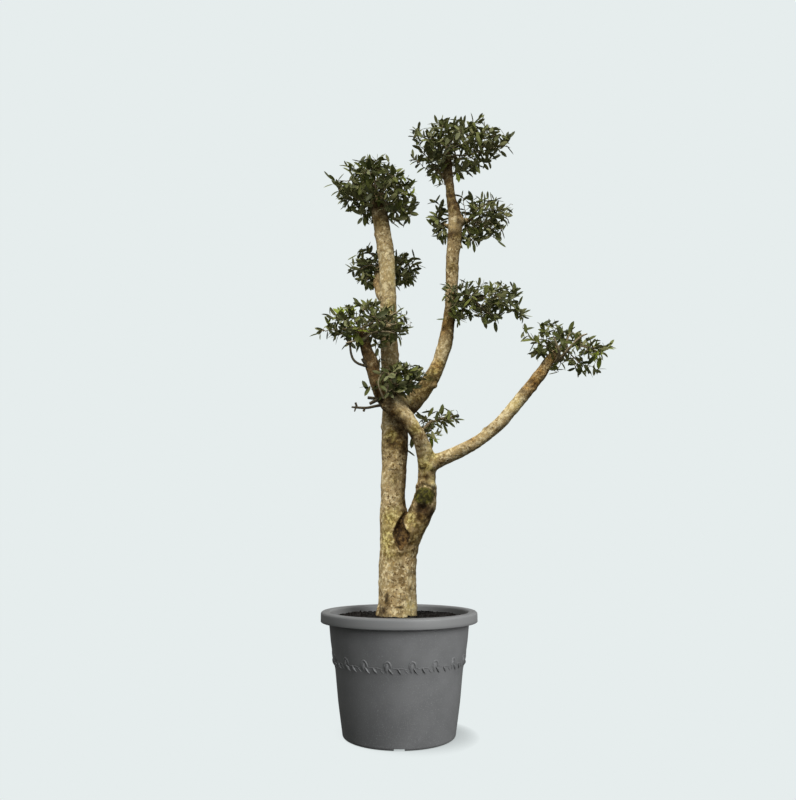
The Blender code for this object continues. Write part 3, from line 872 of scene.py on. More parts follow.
TWIG_SIDES = 8
DARK_TWIGS = (  # each twig's bends in millimetres: x, y, z and radius
    ((-60, -95, 1240, 7), (-90, -112, 1232, 5.8), (-121, -125, 1223, 5.2), (-151, -130, 1222, 5),
     (-184, -134, 1224, 3.4)),
    ((-163, -131, 1222, 4.8), (-169, -132, 1242, 4.2)),
    ((-133, -127, 1224, 4.8), (-137, -132, 1208, 4.6)),
    ((-168, -131, 1222, 4), (-172, -136, 1206, 2.2)),
    ((-60, -96, 1256, 7), (-90, -108, 1262, 6.6), (-122, -118, 1264, 6)),
    ((-62, -96, 1262, 8), (-86, -110, 1256, 7.5), (-114, -118, 1240, 6.2)),
    ((-98, -96, 1385, 7.5), (-128, -104, 1393, 6), (-160, -110, 1402, 5.2), (-180, -112, 1418, 5),
     (-190, -112, 1444, 4.6), (-196, -108, 1480, 4), (-212, -100, 1508, 3.4)),
    ((-124, -100, 1392, 7), (-138, -110, 1410, 6.8), (-146, -114, 1422, 5.8)),
    ((372, -70, 1140, 6), (378, -82, 1158, 5.5)),
)
PALE_TWIGS = (
    ((622, -100, 1414, 7), (622, -160, 1430, 6), (610, -182, 1456, 4.8), (596, -195, 1486, 3)),
    ((636, -100, 1420, 7), (650, -160, 1438, 6), (678, -188, 1468, 4.8), (700, -202, 1488, 3.8),
     (722, -210, 1496, 2.4)),
    ((652, -160, 1444, 4.2), (650, -178, 1476, 3.6), (662, -188, 1506, 2.4)),
    ((-148, -112, 1488, 5), (-106, -142, 1518, 4), (-60, -150, 1522, 3.4), (-18, -148, 1517, 2.6)),
    ((-150, -112, 1500, 4.6), (-178, -140, 1486, 3.6), (-208, -148, 1476, 2.6)),
    ((-140, -120, 1520, 3.6), (-54, -150, 1574, 3), (-6, -150, 1603, 2.2)),
    ((-100, -140, 1545, 3), (-62, -155, 1590, 2.6), (-26, -150, 1622, 1.8)),
    ((-80, -140, 1586, 3), (-30, -155, 1550, 2.6), (-2, -150, 1556, 1.8)),
    ((-60, -150, 1255, 3.4), (-80, -170, 1308, 2.8), (-70, -175, 1345, 1.8)),
    ((-50, -150, 1260, 3.4), (-40, -170, 1305, 2.8), (-10, -175, 1350, 1.8)),
)


def twig_finish(name, light, dark):
    """The flecked skin of one to three year old wood."""
    finish, tree, place = started_finish(name, 0.8, 0.3)
    fleck = grain(tree, place, 0.006, detail=4.0)
    colour = mixed(tree, stepped(tree, fleck, 0.42, 0.62), tone(*light), tone(*dark))
    coated(tree, colour, fleck, 0.4, 0.001)
    return finish


def bare_shoots(name, twigs, finish):
    """Twigs joined into one piece, each a tapered tube through its bends."""
    stubs = bmesh.new()
    for twig in twigs:
        bends = smooth_line(metres(twig), 5)
        swept(stubs, bends[:, :3], bends[:, 3], TWIG_SIDES)
    bmesh.ops.recalc_face_normals(stubs, faces=stubs.faces)
    piece = new_piece(name, stubs, finish)
    smoothed(piece, 50.0)
    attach(piece, "root")


twig_bark = twig_finish("twig_bark", (146, 132, 104), (96, 82, 62))
bare_shoots("dark_twigs", DARK_TWIGS, twig_finish("dark_twig_bark", (92, 84, 64), (58, 50, 38)))
bare_shoots("pale_twigs", PALE_TWIGS, twig_finish("pale_twig_bark", (176, 164, 134), (134, 120, 92)))


# ---------------------------------------------------------------- twigs and leaves of each pad
# Every pad is a clipped head of shoots that fork on from the end of its limb. Narrow leathery
# leaves stand on the shoots in crossed pairs, dark olive above and silvery below.

FRONT_EYE = Vector((-0.0043, -2.927, 0.729))
PAD_GAPS = {  # where the sky shows into a pad from the front, in millimetres: across, up and radius
    "top": ((440, 2556, 34), (470, 2515, 20), (480, 2400, 26), (450, 2365, 18), (160, 2556, 18),
        (120, 2497, 11), (405, 2550, 16), (340, 2268, 13), (378, 2302, 14), (412, 2336, 15),
        (138, 2513, 10)),
    "upper_right": ((488, 2053, 19), (408, 1993, 24), (446, 2170, 11), (460, 2028, 18), (500, 2090, 15),
        (372, 1992, 11)),
    "upper_left": ((140, 2179, 19), (126, 2071, 22), (157, 2024, 15), (149, 2218, 11), (160, 2110, 12),
        (146, 2150, 14)),
    "middle_right": ((460, 1620, 30), (522, 1690, 19), (402, 1575, 26), (480, 1599, 19), (330, 1588, 15),
        (346, 1608, 12), (378, 1600, 12), (420, 1603, 14), (508, 1712, 14)),
    "left_top": ((-240, 2263, 34), (-285, 2196, 22), (-201, 2300, 15)),
    "left_middle": ((-213, 1958, 15), (-6, 1793, 15), (-182, 1990, 15), (10, 1988, 15)),
    "left_low": ((-322, 1578, 28), (-300, 1622, 15), (-235, 1486, 22), (-201, 1479, 15), (37, 1479, 22),
        (-305, 1515, 12), (-272, 1551, 10), (22, 1512, 12)),
    "far_right": ((756, 1545, 24), (760, 1448, 12), (515, 1478, 22), (535, 1566, 15), (850, 1458, 15),
        (800, 1395, 20), (693, 1388, 19), (736, 1478, 8), (676, 1572, 15), (803, 1532, 19),
        (720, 1398, 13), (750, 1384, 13), (600, 1428, 13), (620, 1441, 13), (545, 1441, 12),
        (825, 1466, 10), (669, 1402, 10)),
    "low": ((171, 1187, 15), (143, 1252, 19), (200, 1244, 19), (190, 1150, 15), (150, 1138, 12),
        (215, 1150, 11), (176, 1216, 14), (207, 1207, 11), (130, 1143, 11)),
}
PADS = {  # each pad: its limbs, how many shoots it holds, places close to the stem that shoots fill,
    # and the leaves that stand out of it: each one's tip, and the way it points in degrees up from
    # +X. Places are in millimetres.
    "top": (("right_leader", "top_left_spur"), 396, (
        (64, 40, 2462), (62, 40, 2367), (77, 40, 2338), (112, 40, 2315), (138, 40, 2290), (164, 40, 2265),
        (182, 40, 2240), (86, 40, 2414), (130, 40, 2340), (175, 60, 2330), (88, 40, 2510), (66, 40, 2486),
        (472, 40, 2466), (482, 40, 2442)), (
        (225, 40, 2560, 160), (375, 10, 2560, 50), (380, 10, 2505, -50), (45, 80, 2515, 150),
        (90, 50, 2530, 70), (125, 50, 2525, 35), (55, 0, 2450, 145), (150, 80, 2560, 145),
        (510, 20, 2480, 55), (500, 80, 2440, -5), (495, 110, 2535, 75), (415, 0, 2475, -10),
        (45, 50, 2345, 195), (75, 20, 2290, 205), (125, 80, 2300, 220), (150, 30, 2235, 265),
        (260, 10, 2240, 285), (350, 0, 2270, 295), (395, 90, 2350, -5), (430, 50, 2360, -45))),
    "upper_right": (("upper_right_spur",), 168, (
        (269, 60, 2188), (286, 60, 2160), (299, 60, 2180), (277, 60, 2141), (464, 60, 2151),
        (255, 80, 2165), (262, 100, 2115), (268, 100, 2060), (262, 80, 2005), (272, 70, 2185),
        (272, 70, 1975), (260, 60, 2204), (484, 60, 2146)), (
        (305, 80, 2230, 115), (345, 110, 2230, 120), (400, 80, 2225, 100), (460, 60, 2170, -15),
        (495, 80, 2155, 15), (510, 110, 2160, 45), (480, 80, 2065, -50), (460, 60, 1955, -40),
        (425, 80, 2005, -85), (325, 50, 1930, -85), (300, 60, 1950, -85), (355, 110, 1990, -80))),
    "upper_left": (("upper_left_spur",), 23, (), (
        (185, 120, 2230, 60), (145, 120, 2210, 145), (195, 100, 2185, 55), (135, 120, 2155, 140),
        (120, 100, 2110, 120), (145, 140, 2095, 180), (195, 100, 1985, -65))),
    "middle_right": (("middle_right_spur",), 164, (
        (257, 0, 1755), (282, 0, 1760), (251, 0, 1647), (271, 0, 1621), (259, 0, 1610), (292, 0, 1629),
        (197, -30, 1745), (192, -30, 1705), (200, -30, 1725), (217, -30, 1692), (209, -30, 1735),
        (225, -30, 1655), (235, 0, 1750), (238, 30, 1710), (240, -30, 1670), (245, 20, 1640),
        (255, -20, 1765), (245, 0, 1600), (205, -50, 1720), (215, -50, 1700), (470, 0, 1760),
        (528, 0, 1640)), (
        (170, -40, 1765, 145), (175, -30, 1740, 185), (180, -30, 1690, 205), (155, 20, 1620, 185),
        (220, -60, 1685, 200), (320, 0, 1790, 25), (400, 0, 1780, 60), (425, -30, 1775, 60),
        (480, 0, 1780, 100), (525, 20, 1740, 0), (515, 0, 1720, 70), (545, -20, 1650, 30),
        (555, 0, 1625, -15), (495, 20, 1620, -80), (420, 0, 1600, -60), (400, -20, 1555, -80),
        (350, 0, 1595, 245), (250, -30, 1580, -70))),
    "left_top": (("left_stem",), 360, (
        (50, 0, 2220), (56, 0, 2190), (62, 0, 2135), (45, 0, 2060), (-2, 0, 2046), (-54, 0, 2335),
        (-80, 0, 2335), (-132, 0, 2330), (50, 20, 2160), (45, 0, 2115), (-150, 20, 2080), (20, 0, 2080),
        (40, 0, 2244), (58, 0, 2222), (66, 0, 2196), (-42, 0, 2322)), (
        (-325, 0, 2280, 130), (-330, 30, 2225, 190), (-290, -40, 2150, 200), (-240, 0, 2275, 65),
        (-230, 50, 2315, 170), (-225, -30, 2315, 145), (-145, 0, 2355, 60), (-55, -30, 2350, 40),
        (-15, 0, 2320, 40), (15, -50, 2275, 40), (70, 0, 2225, 5), (-250, 0, 2100, 225),
        (-245, -50, 2125, 220), (-175, -20, 2025, 240), (-145, 20, 2035, 275), (0, -50, 1995, -35),
        (10, 0, 2040, -60), (45, 30, 2050, -80), (85, -30, 2065, -10), (85, 30, 2155, 55))),
    "left_middle": (("behind_limb",), 186, (
        (0, 120, 1920), (-5, 120, 1860)), (
        (-180, 120, 1975, 175), (-120, 140, 2005, 80), (-225, 120, 1920, 215), (-235, 100, 1900, 145),
        (-225, 120, 1865, 235), (-165, 100, 1815, 250), (-145, 100, 1775, 250), (15, 150, 1970, 40),
        (55, 120, 1975, 115), (120, 100, 1880, -20), (85, 120, 1860, -30), (30, 120, 1790, -75),
        (-150, 100, 1795, 265), (-120, 100, 1775, -80), (55, 140, 1815, -85))),
    "left_low": (("left_limb",), 220, (
        (-74, -120, 1611), (-42, -120, 1590), (-10, -120, 1578), (21, -120, 1562), (-58, -130, 1549),
        (-26, -130, 1529), (9, -120, 1521), (-89, -130, 1578), (-49, -120, 1496), (22, -110, 1600),
        (34, -110, 1553), (22, -110, 1533), (-88, -80, 1470), (-82, -70, 1445), (-78, -60, 1415),
        (-106, -110, 1645), (-60, -90, 1620), (-30, -100, 1590), (0, -90, 1600), (-20, -90, 1550),
        (10, -100, 1560), (-50, -100, 1540), (5, -80, 1525)), (
        (-360, -90, 1520, 185), (-295, -110, 1600, 105), (-265, -90, 1640, 135), (-235, -70, 1655, 100),
        (-205, -110, 1630, 30), (-185, -90, 1685, 125), (-155, -90, 1675, 130), (-115, -70, 1690, 75),
        (20, -110, 1635, 45), (30, -120, 1600, 15), (45, -90, 1590, -10), (60, -110, 1555, 20),
        (15, -110, 1475, -65), (-235, -90, 1470, 210), (-175, -120, 1450, 230))),
    "centre": (("centre_spur",), 136, (
        (-79, -165, 1353), (-33, -170, 1306), (-71, -170, 1298), (-10, -170, 1282), (-41, -175, 1274),
        (18, -110, 1398), (45, -110, 1385), (72, -110, 1372), (96, -110, 1358), (21, -120, 1348),
        (-2, -110, 1390), (-85, -140, 1300), (30, -110, 1330), (55, -110, 1330), (40, -110, 1305),
        (15, -110, 1310), (60, -110, 1355)), (
        (10, -100, 1420, 90), (30, -100, 1415, 80), (55, -120, 1400, 15), (85, -100, 1390, 75),
        (100, -120, 1370, 40), (-142, -120, 1335, 115), (-158, -120, 1305, 190), (-136, -120, 1270, 245),
        (40, -120, 1270, -60))),
    "far_right": (("arm_outer",), 88, (
        (662, -70, 1550), (690, -70, 1548), (675, -100, 1520), (640, -90, 1530), (610, -80, 1520),
        (700, -80, 1525), (655, -80, 1500), (625, -60, 1490)), (
        (545, -70, 1570, 30), (510, -80, 1530, 275), (485, -90, 1500, 185), (495, -50, 1530, 155),
        (615, -70, 1595, 35), (570, -50, 1580, 125), (660, -90, 1575, 40), (795, -70, 1530, 35),
        (865, -70, 1515, 55), (875, -50, 1485, 5), (810, -90, 1430, -25), (830, -70, 1395, 10),
        (795, -70, 1390, 260), (770, -100, 1350, -55), (745, -70, 1355, -60), (730, -50, 1370, -60),
        (655, -90, 1380, -5), (595, -70, 1365, 195), (550, -70, 1425, 240), (530, -90, 1475, 150))),
    "low": (("low_spur",), 8, (
        (92, -20, 1200), (98, -20, 1186), (100, -20, 1170), (136, -20, 1180), (118, -20, 1200),
        (114, -20, 1178), (78, -30, 1212), (85, -30, 1198), (154, -10, 1190)), (
        (175, -10, 1260, 85), (140, -10, 1245, 60), (155, -40, 1225, 80), (200, -40, 1230, 80),
        (225, -10, 1160, -50), (170, 10, 1220, 175), (235, -10, 1190, -50), (265, -10, 1195, 5),
        (195, -10, 1135, -65), (165, -30, 1115, 5), (155, -10, 1095, -50), (130, -10, 1080, -90),
        (90, -10, 1220, 195), (50, 0, 1080, 260), (65, 10, 1050, -35))),
}
YOUNG_SPRAYS = (  # where fresh yellow-green growth shows, and how far round it, in millimetres
    (-250, -100, 1620, 60), (-160, -130, 1540, 32), (55, 0, 2225, 55), (270, 30, 2295, 40),
    (130, -20, 1120, 30), (800, -70, 1470, 40),
)
LEAF_INSET = 0.014  # how far shoot tips stay inside the pad's outline, for the leaves beyond them
FILL_ROOM = 0.030  # how far leaves may reach round a filled place
LEAF_PROUD = 0.010  # how far a leaf may stand out of it
PAD_SEED = 100
SHOOT_TRIES = 14000
SHOOT_ROUNDS = 90
SHOOT_STEP = 0.011
SHOOT_WANDER = 0.16
SHOOT_RISE = 0.10
PLACE_REACH = 0.024  # how near shoots come to places spread through the pad,
FILL_REACH = 0.012  # to filled places close to the stem,
TIP_REACH = 0.008  # and to the feet of leaves that stand out
SHOOT_TIP = 0.0010
SHOOT_SWELL = 0.46
SHOOT_MOST = 0.0085
LIMB_END_ROOM = 0.015  # how far outside its pad a limb's end already bears shoots
ANY_WAY = (0.31, 0.62, 0.72)  # a direction that no shoot has exactly
LEAFY_LENGTH = 0.120
LEAF_GAP = 0.0170
LEAF_TRIES = 4
LEAF_LENGTH = 0.050
LEAF_WIDTH = 0.0168
LEAF_SPANS = 5
LEAF_THICKNESS = 0.014  # in parts of its length
LEAF_LEAN = 26.0  # degrees from the shoot at its tip,
LEAF_SPREAD = 36.0  # and how many more further in
STANDING_LENGTHS = (0.030, 0.066)
STANDING_FOOT = 0.9  # how far from its tip a standing leaf's shoot should be, in leaf lengths
TOWARDS_FRONT = (0.0, -1.0, 0.6)
LEAF_TOPS = {  # name of each upper side's green, its colour and its share of the sprays
    "leaf_dark": ((64, 70, 31), 0.30),
    "leaf_olive": ((82, 88, 40), 0.32),
    "leaf_light": ((108, 114, 57), 0.22),
    "leaf_grey": ((118, 122, 84), 0.16),
}
SMALL_LEAVED = {  # the size of leaves on some pads, in parts of the others'
    "low": 0.74, "far_right": 0.84, "upper_right": 0.88, "middle_right": 0.92, "left_low": 0.92,
}
OTHER_GREENS = {  # how far the shares of the greens on some pads differ from the others'
    "top": (-0.12, -0.02, 0.08, 0.06),
    "left_top": (-0.13, -0.02, 0.08, 0.07),
    "left_low": (-0.18, -0.18, 0.08, 0.28),
    "far_right": (-0.14, -0.04, 0.06, 0.12),
    "centre": (0.10, -0.16, -0.10, 0.16),
}
LEAF_YOUNG = (138, 152, 50)
LEAF_UNDERSIDE = (130, 131, 90)


def leaf_finish(name, colour, roughness, gloss):
    """A leathery leaf's skin, one plain colour."""
    finish, tree, _ = started_finish(name, roughness, gloss)
    tree.nodes["Principled BSDF"].inputs["Base Color"].default_value = tone(*colour)
    return finish


def leaf_pattern(bend, fold):
    """One leaf a unit long, a thin closed lens: its corners, its faces and which are underneath."""
    blade = bmesh.new()
    bmesh.ops.create_grid(blade, x_segments=2, y_segments=LEAF_SPANS, size=0.5)
    for vert in blade.verts:
        share = vert.co.y + 0.5
        half = 0.5 * max(1.0 - abs(2.0 * share - 1.0) ** 2.4, 0.0) ** 0.75
        side = 2.0 * vert.co.x
        width = LEAF_WIDTH / LEAF_LENGTH
        vert.co.x = side * half * width
        vert.co.y = share
        vert.co.z = fold * abs(side) * half * width - bend * share**2
    back = bmesh.ops.duplicate(blade, geom=whole(blade))["geom"]
    faces = only(bmesh.types.BMFace, back)
    bmesh.ops.reverse_faces(blade, faces=faces)
    for face in faces:
        face.material_index = 1
    for vert in only(bmesh.types.BMVert, back):
        if abs(vert.co.x) < 0.001 and 0.001 < vert.co.y < 0.999:
            vert.co.z -= LEAF_THICKNESS
    bmesh.ops.remove_doubles(blade, verts=blade.verts, dist=0.0001)
    blade.verts.index_update()
    corners = np.array([vert.co for vert in blade.verts])
    faces = [[vert.index for vert in face.verts] for face in blade.faces]
    under = np.array([face.material_index for face in blade.faces])
    blade.free()
    return corners, faces, under


def joined_mesh(name, corners, loops, sizes, slots=0):
    """One mesh from many small shapes: all corners, the corners round each face, and its slot."""
    mesh = bpy.data.meshes.new(name)
    mesh.vertices.add(len(corners))
    mesh.vertices.foreach_set("co", np.asarray(corners, np.float32).ravel())
    mesh.loops.add(len(loops))
    mesh.loops.foreach_set("vertex_index", np.asarray(loops, np.int32))
    mesh.polygons.add(len(sizes))
    starts = np.concatenate([[0], np.cumsum(sizes)[:-1]])
    mesh.polygons.foreach_set("loop_start", starts.astype(np.int32))
    mesh.polygons.foreach_set("material_index", np.broadcast_to(slots, len(sizes)).astype(np.int32))
    mesh.update(calc_edges=True)
    mesh.validate()
    mesh.shade_smooth()
    return mesh


def shoot_targets(envelope, count, fixed, dice):
    """Places for a pad's shoots to reach: the fixed ones, then more spread evenly through the pad."""
    low = np.array(envelope.lowest)
    high = np.array(envelope.highest)
    chosen = list(fixed)
    spacing = (envelope.room / count) ** (1.0 / 3.0)
    tries = 0
    while tries < SHOOT_TRIES and len(chosen) < count + len(fixed):
        tries += 1
        point = low + dice.random(3) * (high - low)
        depth = envelope.depth(point)
        if depth < LEAF_INSET:
            continue
        # shoots stand closer together deep inside than at the outline
        room = spacing * (1.30 - 0.60 * min(depth / 0.08, 1.0))
        if chosen and min(np.linalg.norm(point - other) for other in chosen) < room:
            spacing *= 0.9995
            continue
        chosen.append(point)
    return np.array(chosen)


class Envelope:
    """The outline of a pad, taken from its CAD solid."""

    def __init__(self, node, gaps, fills):
        self.gaps = gaps
        self.fills = fills
        shape = merged(node)
        self.tree = BVHTree.FromBMesh(shape)
        self.room = abs(shape.calc_volume())
        shape.free()
        self.lowest, self.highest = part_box(node)
        self.away = (self.lowest.y + self.highest.y) / 2.0 - FRONT_EYE.y

    def depth(self, point, with_gaps=True):
        """How far a point is inside the outline, and less than 0 outside it or in a gap."""
        seen = (Vector(point) - FRONT_EYE) * self.away / (point[1] - FRONT_EYE.y) + FRONT_EYE
        if with_gaps and any(math.hypot(seen.x - x, seen.z - z) < room for x, z, room in self.gaps):
            return -1.0
        if len(self.fills) and np.linalg.norm(self.fills - point, axis=1).min() < FILL_ROOM:
            return FILL_ROOM
        near, normal, _, gap = self.tree.find_nearest(Vector(point))
        return gap if (Vector(point) - near).dot(normal) < 0.0 else -gap


def grown_shoots(limb_ends, targets, near_enough, dice):
    """Shoots that fork on from the points of limbs' ends until each target has one near it."""
    points = []
    parents = []
    for limb_end in limb_ends:
        parents += [-1] + list(range(len(points), len(points) + len(limb_end) - 1))
        points += [np.array(point) for point in limb_end]
    waiting = targets.copy()
    for _ in range(SHOOT_ROUNDS):
        if not len(waiting):
            break
        grown = np.array(points)
        away = np.linalg.norm(waiting[:, None, :] - grown[None, :, :], axis=2)
        closest = away.argmin(axis=1)
        pull = np.zeros_like(grown)
        ways = waiting - grown[closest]
        ways /= np.maximum(np.linalg.norm(ways, axis=1), 1e-6)[:, None]
        np.add.at(pull, closest, ways)
        for parent in np.unique(closest):
            way = pull[parent] / max(np.linalg.norm(pull[parent]), 1e-6)
            way = way + dice.normal(0.0, SHOOT_WANDER, 3) + np.array([0.0, 0.0, SHOOT_RISE])
            points.append(grown[parent] + SHOOT_STEP * way / np.linalg.norm(way))
            parents.append(int(parent))
        newest = np.array(points[len(grown):])
        gaps = np.linalg.norm(waiting[:, None, :] - newest[None, :, :], axis=2).min(axis=1)
        waiting = waiting[gaps > near_enough]
        near_enough = near_enough[gaps > near_enough]
    return np.array(points), np.array(parents)


def shoot_order(parents):
    """For each point of the shoots: its children, how many tips are beyond it, and how far the last."""
    children = [[] for _ in parents]
    tips = np.zeros(len(parents))
    reach = np.zeros(len(parents))
    for i in range(len(parents) - 1, -1, -1):
        if not children[i]:
            tips[i] = 1.0
        if parents[i] >= 0:
            children[parents[i]].append(i)
            tips[parents[i]] += tips[i]
            reach[parents[i]] = max(reach[parents[i]], reach[i] + SHOOT_STEP)
    return children, tips, reach


def shoot_runs(parents, children, reach):
    """The shoots as runs of points, each from a fork out to a tip, the longest first at each fork."""
    runs = []
    starts = [(root, root) for root in np.flatnonzero(parents < 0)]
    while starts:
        root, first = starts.pop()
        run = [root] if root == first else [root, first]
        while children[run[-1]]:
            onward = sorted(children[run[-1]], key=lambda c: -reach[c])
            starts += [(run[-1], other) for other in onward[1:]]
            run.append(onward[0])
        runs.append(run)
    return runs


def twig_tubes(points, runs, radii):
    """Tubes for all the runs: corners, loops and face sizes."""
    corners, loops, sizes = [], [], []
    for run in runs:
        line = points[run]
        thick = radii[run].copy()
        if len(run) > 2:
            thick[0] = min(thick[0], thick[1] * 1.1)
        sides = 8 if thick.max() > 0.004 else 5
        ways = np.gradient(line, axis=0)
        ways /= np.maximum(np.linalg.norm(ways, axis=1), 1e-9)[:, None]
        guide = np.array(ANY_WAY)
        base = len(corners)
        for middle, way, radius in zip(line, ways, thick):
            guide = guide - way * guide.dot(way)
            guide /= np.linalg.norm(guide)
            side = np.cross(way, guide)
            for j in range(sides):
                turn = 2.0 * math.pi * j / sides
                corners.append(middle + radius * (math.cos(turn) * guide + math.sin(turn) * side))
        for i in range(len(run) - 1):
            for j in range(sides):
                a, b = base + i * sides + j, base + i * sides + (j + 1) % sides
                loops += [a, b, b + sides, a + sides]
                sizes.append(4)
        loops += [base + j for j in reversed(range(sides))]
        loops += [base + (len(run) - 1) * sides + j for j in range(sides)]
        sizes += [sides, sides]
    return corners, loops, sizes


def unit(way):
    """The same direction, one long."""
    return way / max(np.linalg.norm(way), 1e-9)


def in_young_spray(place):
    """Whether fresh growth shows at a place."""
    return any(np.linalg.norm(place - np.array(spot)) < room for *spot, room in metres(YOUNG_SPRAYS))


def leaf_places(points, runs, reach, wooden, envelope, shares, scale, dice):
    """Where each leaf grows: its foot, its direction, its upper side's direction, length and green."""
    greens = len(LEAF_TOPS)
    places = []
    for run in runs:
        line = points[run]
        green = int(dice.choice(greens, p=shares / shares.sum()))
        turn = dice.uniform(0.0, math.pi)
        due = 0.4 * LEAF_GAP
        for i in range(1, len(run)):
            if reach[run[i]] > LEAFY_LENGTH or run[i] < wooden:
                continue
            due -= SHOOT_STEP
            at_tip = i == len(run) - 1
            if due > 0.0 and not at_tip:
                continue
            due = LEAF_GAP * dice.uniform(0.85, 1.2)
            turn += math.pi / 2.0 + dice.normal(0.0, 0.25)
            way = unit(line[i] - line[i - 1])
            side = unit(np.cross(way, ANY_WAY))
            across = np.cross(way, side)
            inward = min(2.5 * reach[run[i]] / LEAFY_LENGTH, 1.0)
            size = scale * LEAF_LENGTH * (0.74 + 0.36 * inward)
            fresh = in_young_spray(line[i])
            for half_turn in (0.0, math.pi):
                for _ in range(LEAF_TRIES):
                    lean = math.radians(LEAF_LEAN + LEAF_SPREAD * inward) + dice.normal(0.0, 0.22)
                    swing = turn + half_turn + dice.normal(0.0, 0.3)
                    out = math.cos(swing) * side + math.sin(swing) * across
                    leaf_way = unit(math.cos(lean) * way + math.sin(lean) * out)
                    length = size * dice.uniform(0.78, 1.18)
                    if envelope.depth(line[i] + length * leaf_way) > -LEAF_PROUD:
                        shade = green if dice.random() < 0.7 else int(dice.choice(greens))
                        shade = greens if fresh and dice.random() < 0.75 else shade
                        places.append((line[i], leaf_way, leaf_face(leaf_way, way, dice), length, shade))
                        break
    return places


def leaf_face(leaf_way, shoot_way, dice):
    """The way a leaf's upper side looks: along its shoot and to the sky."""
    face = unit(shoot_way - leaf_way * shoot_way.dot(leaf_way))
    sky = np.array([0.0, 0.0, 1.0]) - leaf_way * leaf_way[2]
    face = unit(face + 0.8 * sky + dice.normal(0.0, 0.30, 3))
    return unit(face - leaf_way * face.dot(leaf_way))


def standing_leaves(points, tips, dice):
    """The leaves that end at given tips, each on the point of a shoot that is nearest its foot."""
    places = []
    for tip, foot in tips:
        base = points[np.linalg.norm(points - foot, axis=1).argmin()]
        way = unit(tip - base)
        length = float(np.clip(np.linalg.norm(tip - base), *STANDING_LENGTHS))
        face = leaf_face(way, unit(np.array(TOWARDS_FRONT)), dice)
        shade = len(LEAF_TOPS) if in_young_spray(base) else int(dice.integers(3))
        places.append((base, way, face, length, shade))
    return places


def leaf_mesh(name, places, patterns, dice):
    """All the leaves of a pad as one mesh, upper sides and undersides in slots of their own."""
    corners, loops, sizes, slots = [], [], [], []
    base = 0
    underside = len(LEAF_TOPS) + 1
    for foot, way, face, length, shade in places:
        shape, faces, under = patterns[dice.integers(len(patterns))]
        broad = dice.uniform(0.85, 1.2)
        side = np.cross(way, face)
        axes = np.array([side * broad, way, face]) * length
        corners.append(foot + shape @ axes)
        for corner_list in faces:
            loops += [base + corner for corner in corner_list]
            sizes.append(len(corner_list))
        slots += list(np.where(under == 1, underside, shade))
        base += len(shape)
    mesh = joined_mesh(name, np.vstack(corners), loops, sizes, slots)
    edges = np.zeros(len(loops), np.int32)
    mesh.loops.foreach_get("edge_index", edges)
    below = np.repeat(np.array(slots) == underside, sizes)
    has_below = np.zeros(len(mesh.edges), bool)
    has_above = np.zeros(len(mesh.edges), bool)
    has_below[edges[below]] = True
    has_above[edges[~below]] = True
    rim = mesh.attributes.new("sharp_edge", "BOOLEAN", "EDGE")
    rim.data.foreach_set("value", has_below & has_above)
    return mesh


leaf_finishes = [leaf_finish(name, colour, 0.55, 0.25) for name, (colour, _) in LEAF_TOPS.items()]
leaf_finishes.append(leaf_finish("leaf_young", LEAF_YOUNG, 0.5, 0.4))
leaf_finishes.append(leaf_finish("leaf_underside", LEAF_UNDERSIDE, 0.75, 0.2))
leaf_patterns = [leaf_pattern(b, f) for b in (-0.06, 0.05, 0.13, 0.22) for f in (0.10, 0.32)]

for number, (pad, (limbs, shoots, filled, standing)) in enumerate(PADS.items()):
    dice = np.random.default_rng(PAD_SEED + number)
    fills = np.array(metres(filled)).reshape(-1, 3)
    envelope = Envelope("pad_" + pad, metres(PAD_GAPS.get(pad, ())), fills)
    tips = []
    for *place, up in standing:
        way = np.array([math.cos(math.radians(up)), 0.0, math.sin(math.radians(up))])
        tip = np.array(place) / 1000.0
        tips.append((tip, tip - STANDING_FOOT * LEAF_LENGTH * way))
    limb_ends = []
    for limb in limbs:
        limb_ends.append([p for p in limb_lines[limb][0] if envelope.depth(p, False) > -LIMB_END_ROOM])
    limb_ends = [limb_end for limb_end in limb_ends if limb_end]
    wooden = sum(len(limb_end) for limb_end in limb_ends)
    fixed = [foot for _, foot in tips] + list(fills)
    targets = shoot_targets(envelope, shoots, fixed, dice)
    near_enough = np.full(len(targets), PLACE_REACH)
    near_enough[:len(fixed)] = FILL_REACH
    near_enough[:len(tips)] = TIP_REACH
    points, parents = grown_shoots(limb_ends, targets, near_enough, dice)
    children, tip_count, reach = shoot_order(parents)
    runs = shoot_runs(parents, children, reach)
    radii = np.minimum(SHOOT_TIP * tip_count**SHOOT_SWELL, SHOOT_MOST)
    twigs = joined_mesh(f"twigs_{pad}", *twig_tubes(points, runs, radii))
    twigs_piece = new_piece(f"twigs_{pad}", twigs, twig_bark)
    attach(twigs_piece, "root")

    shares = np.array([share for _, share in LEAF_TOPS.values()]) + OTHER_GREENS.get(pad, 0.0)
    scale = SMALL_LEAVED.get(pad, 1.0)
    places = leaf_places(points, runs, reach, wooden, envelope, shares, scale, dice)
    places += standing_leaves(points, tips, dice)
    leaves = leaf_mesh(f"leaves_{pad}", places, leaf_patterns, dice)
    leaves_piece = new_piece(f"leaves_{pad}", leaves, *leaf_finishes)
    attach(leaves_piece, "root")
    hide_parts("pad_" + pad)


# ---------------------------------------------------------------- olives
# Two ripe olives left on the shoots, near black with a slate bloom, each on a thin stalk.

OLIVE_RADIUS = 0.0070
OLIVE_HALF_LENGTH = 0.0085
OLIVES = ((0.235, -0.020, 1.208), (0.720, -0.110, 1.442))
STALK = ((0.0, 0.0, 0.008), (0.001, 0.0, 0.016), (-0.006, 0.0, 0.024))
STALK_RADII = (0.0007, 0.0007, 0.0009)


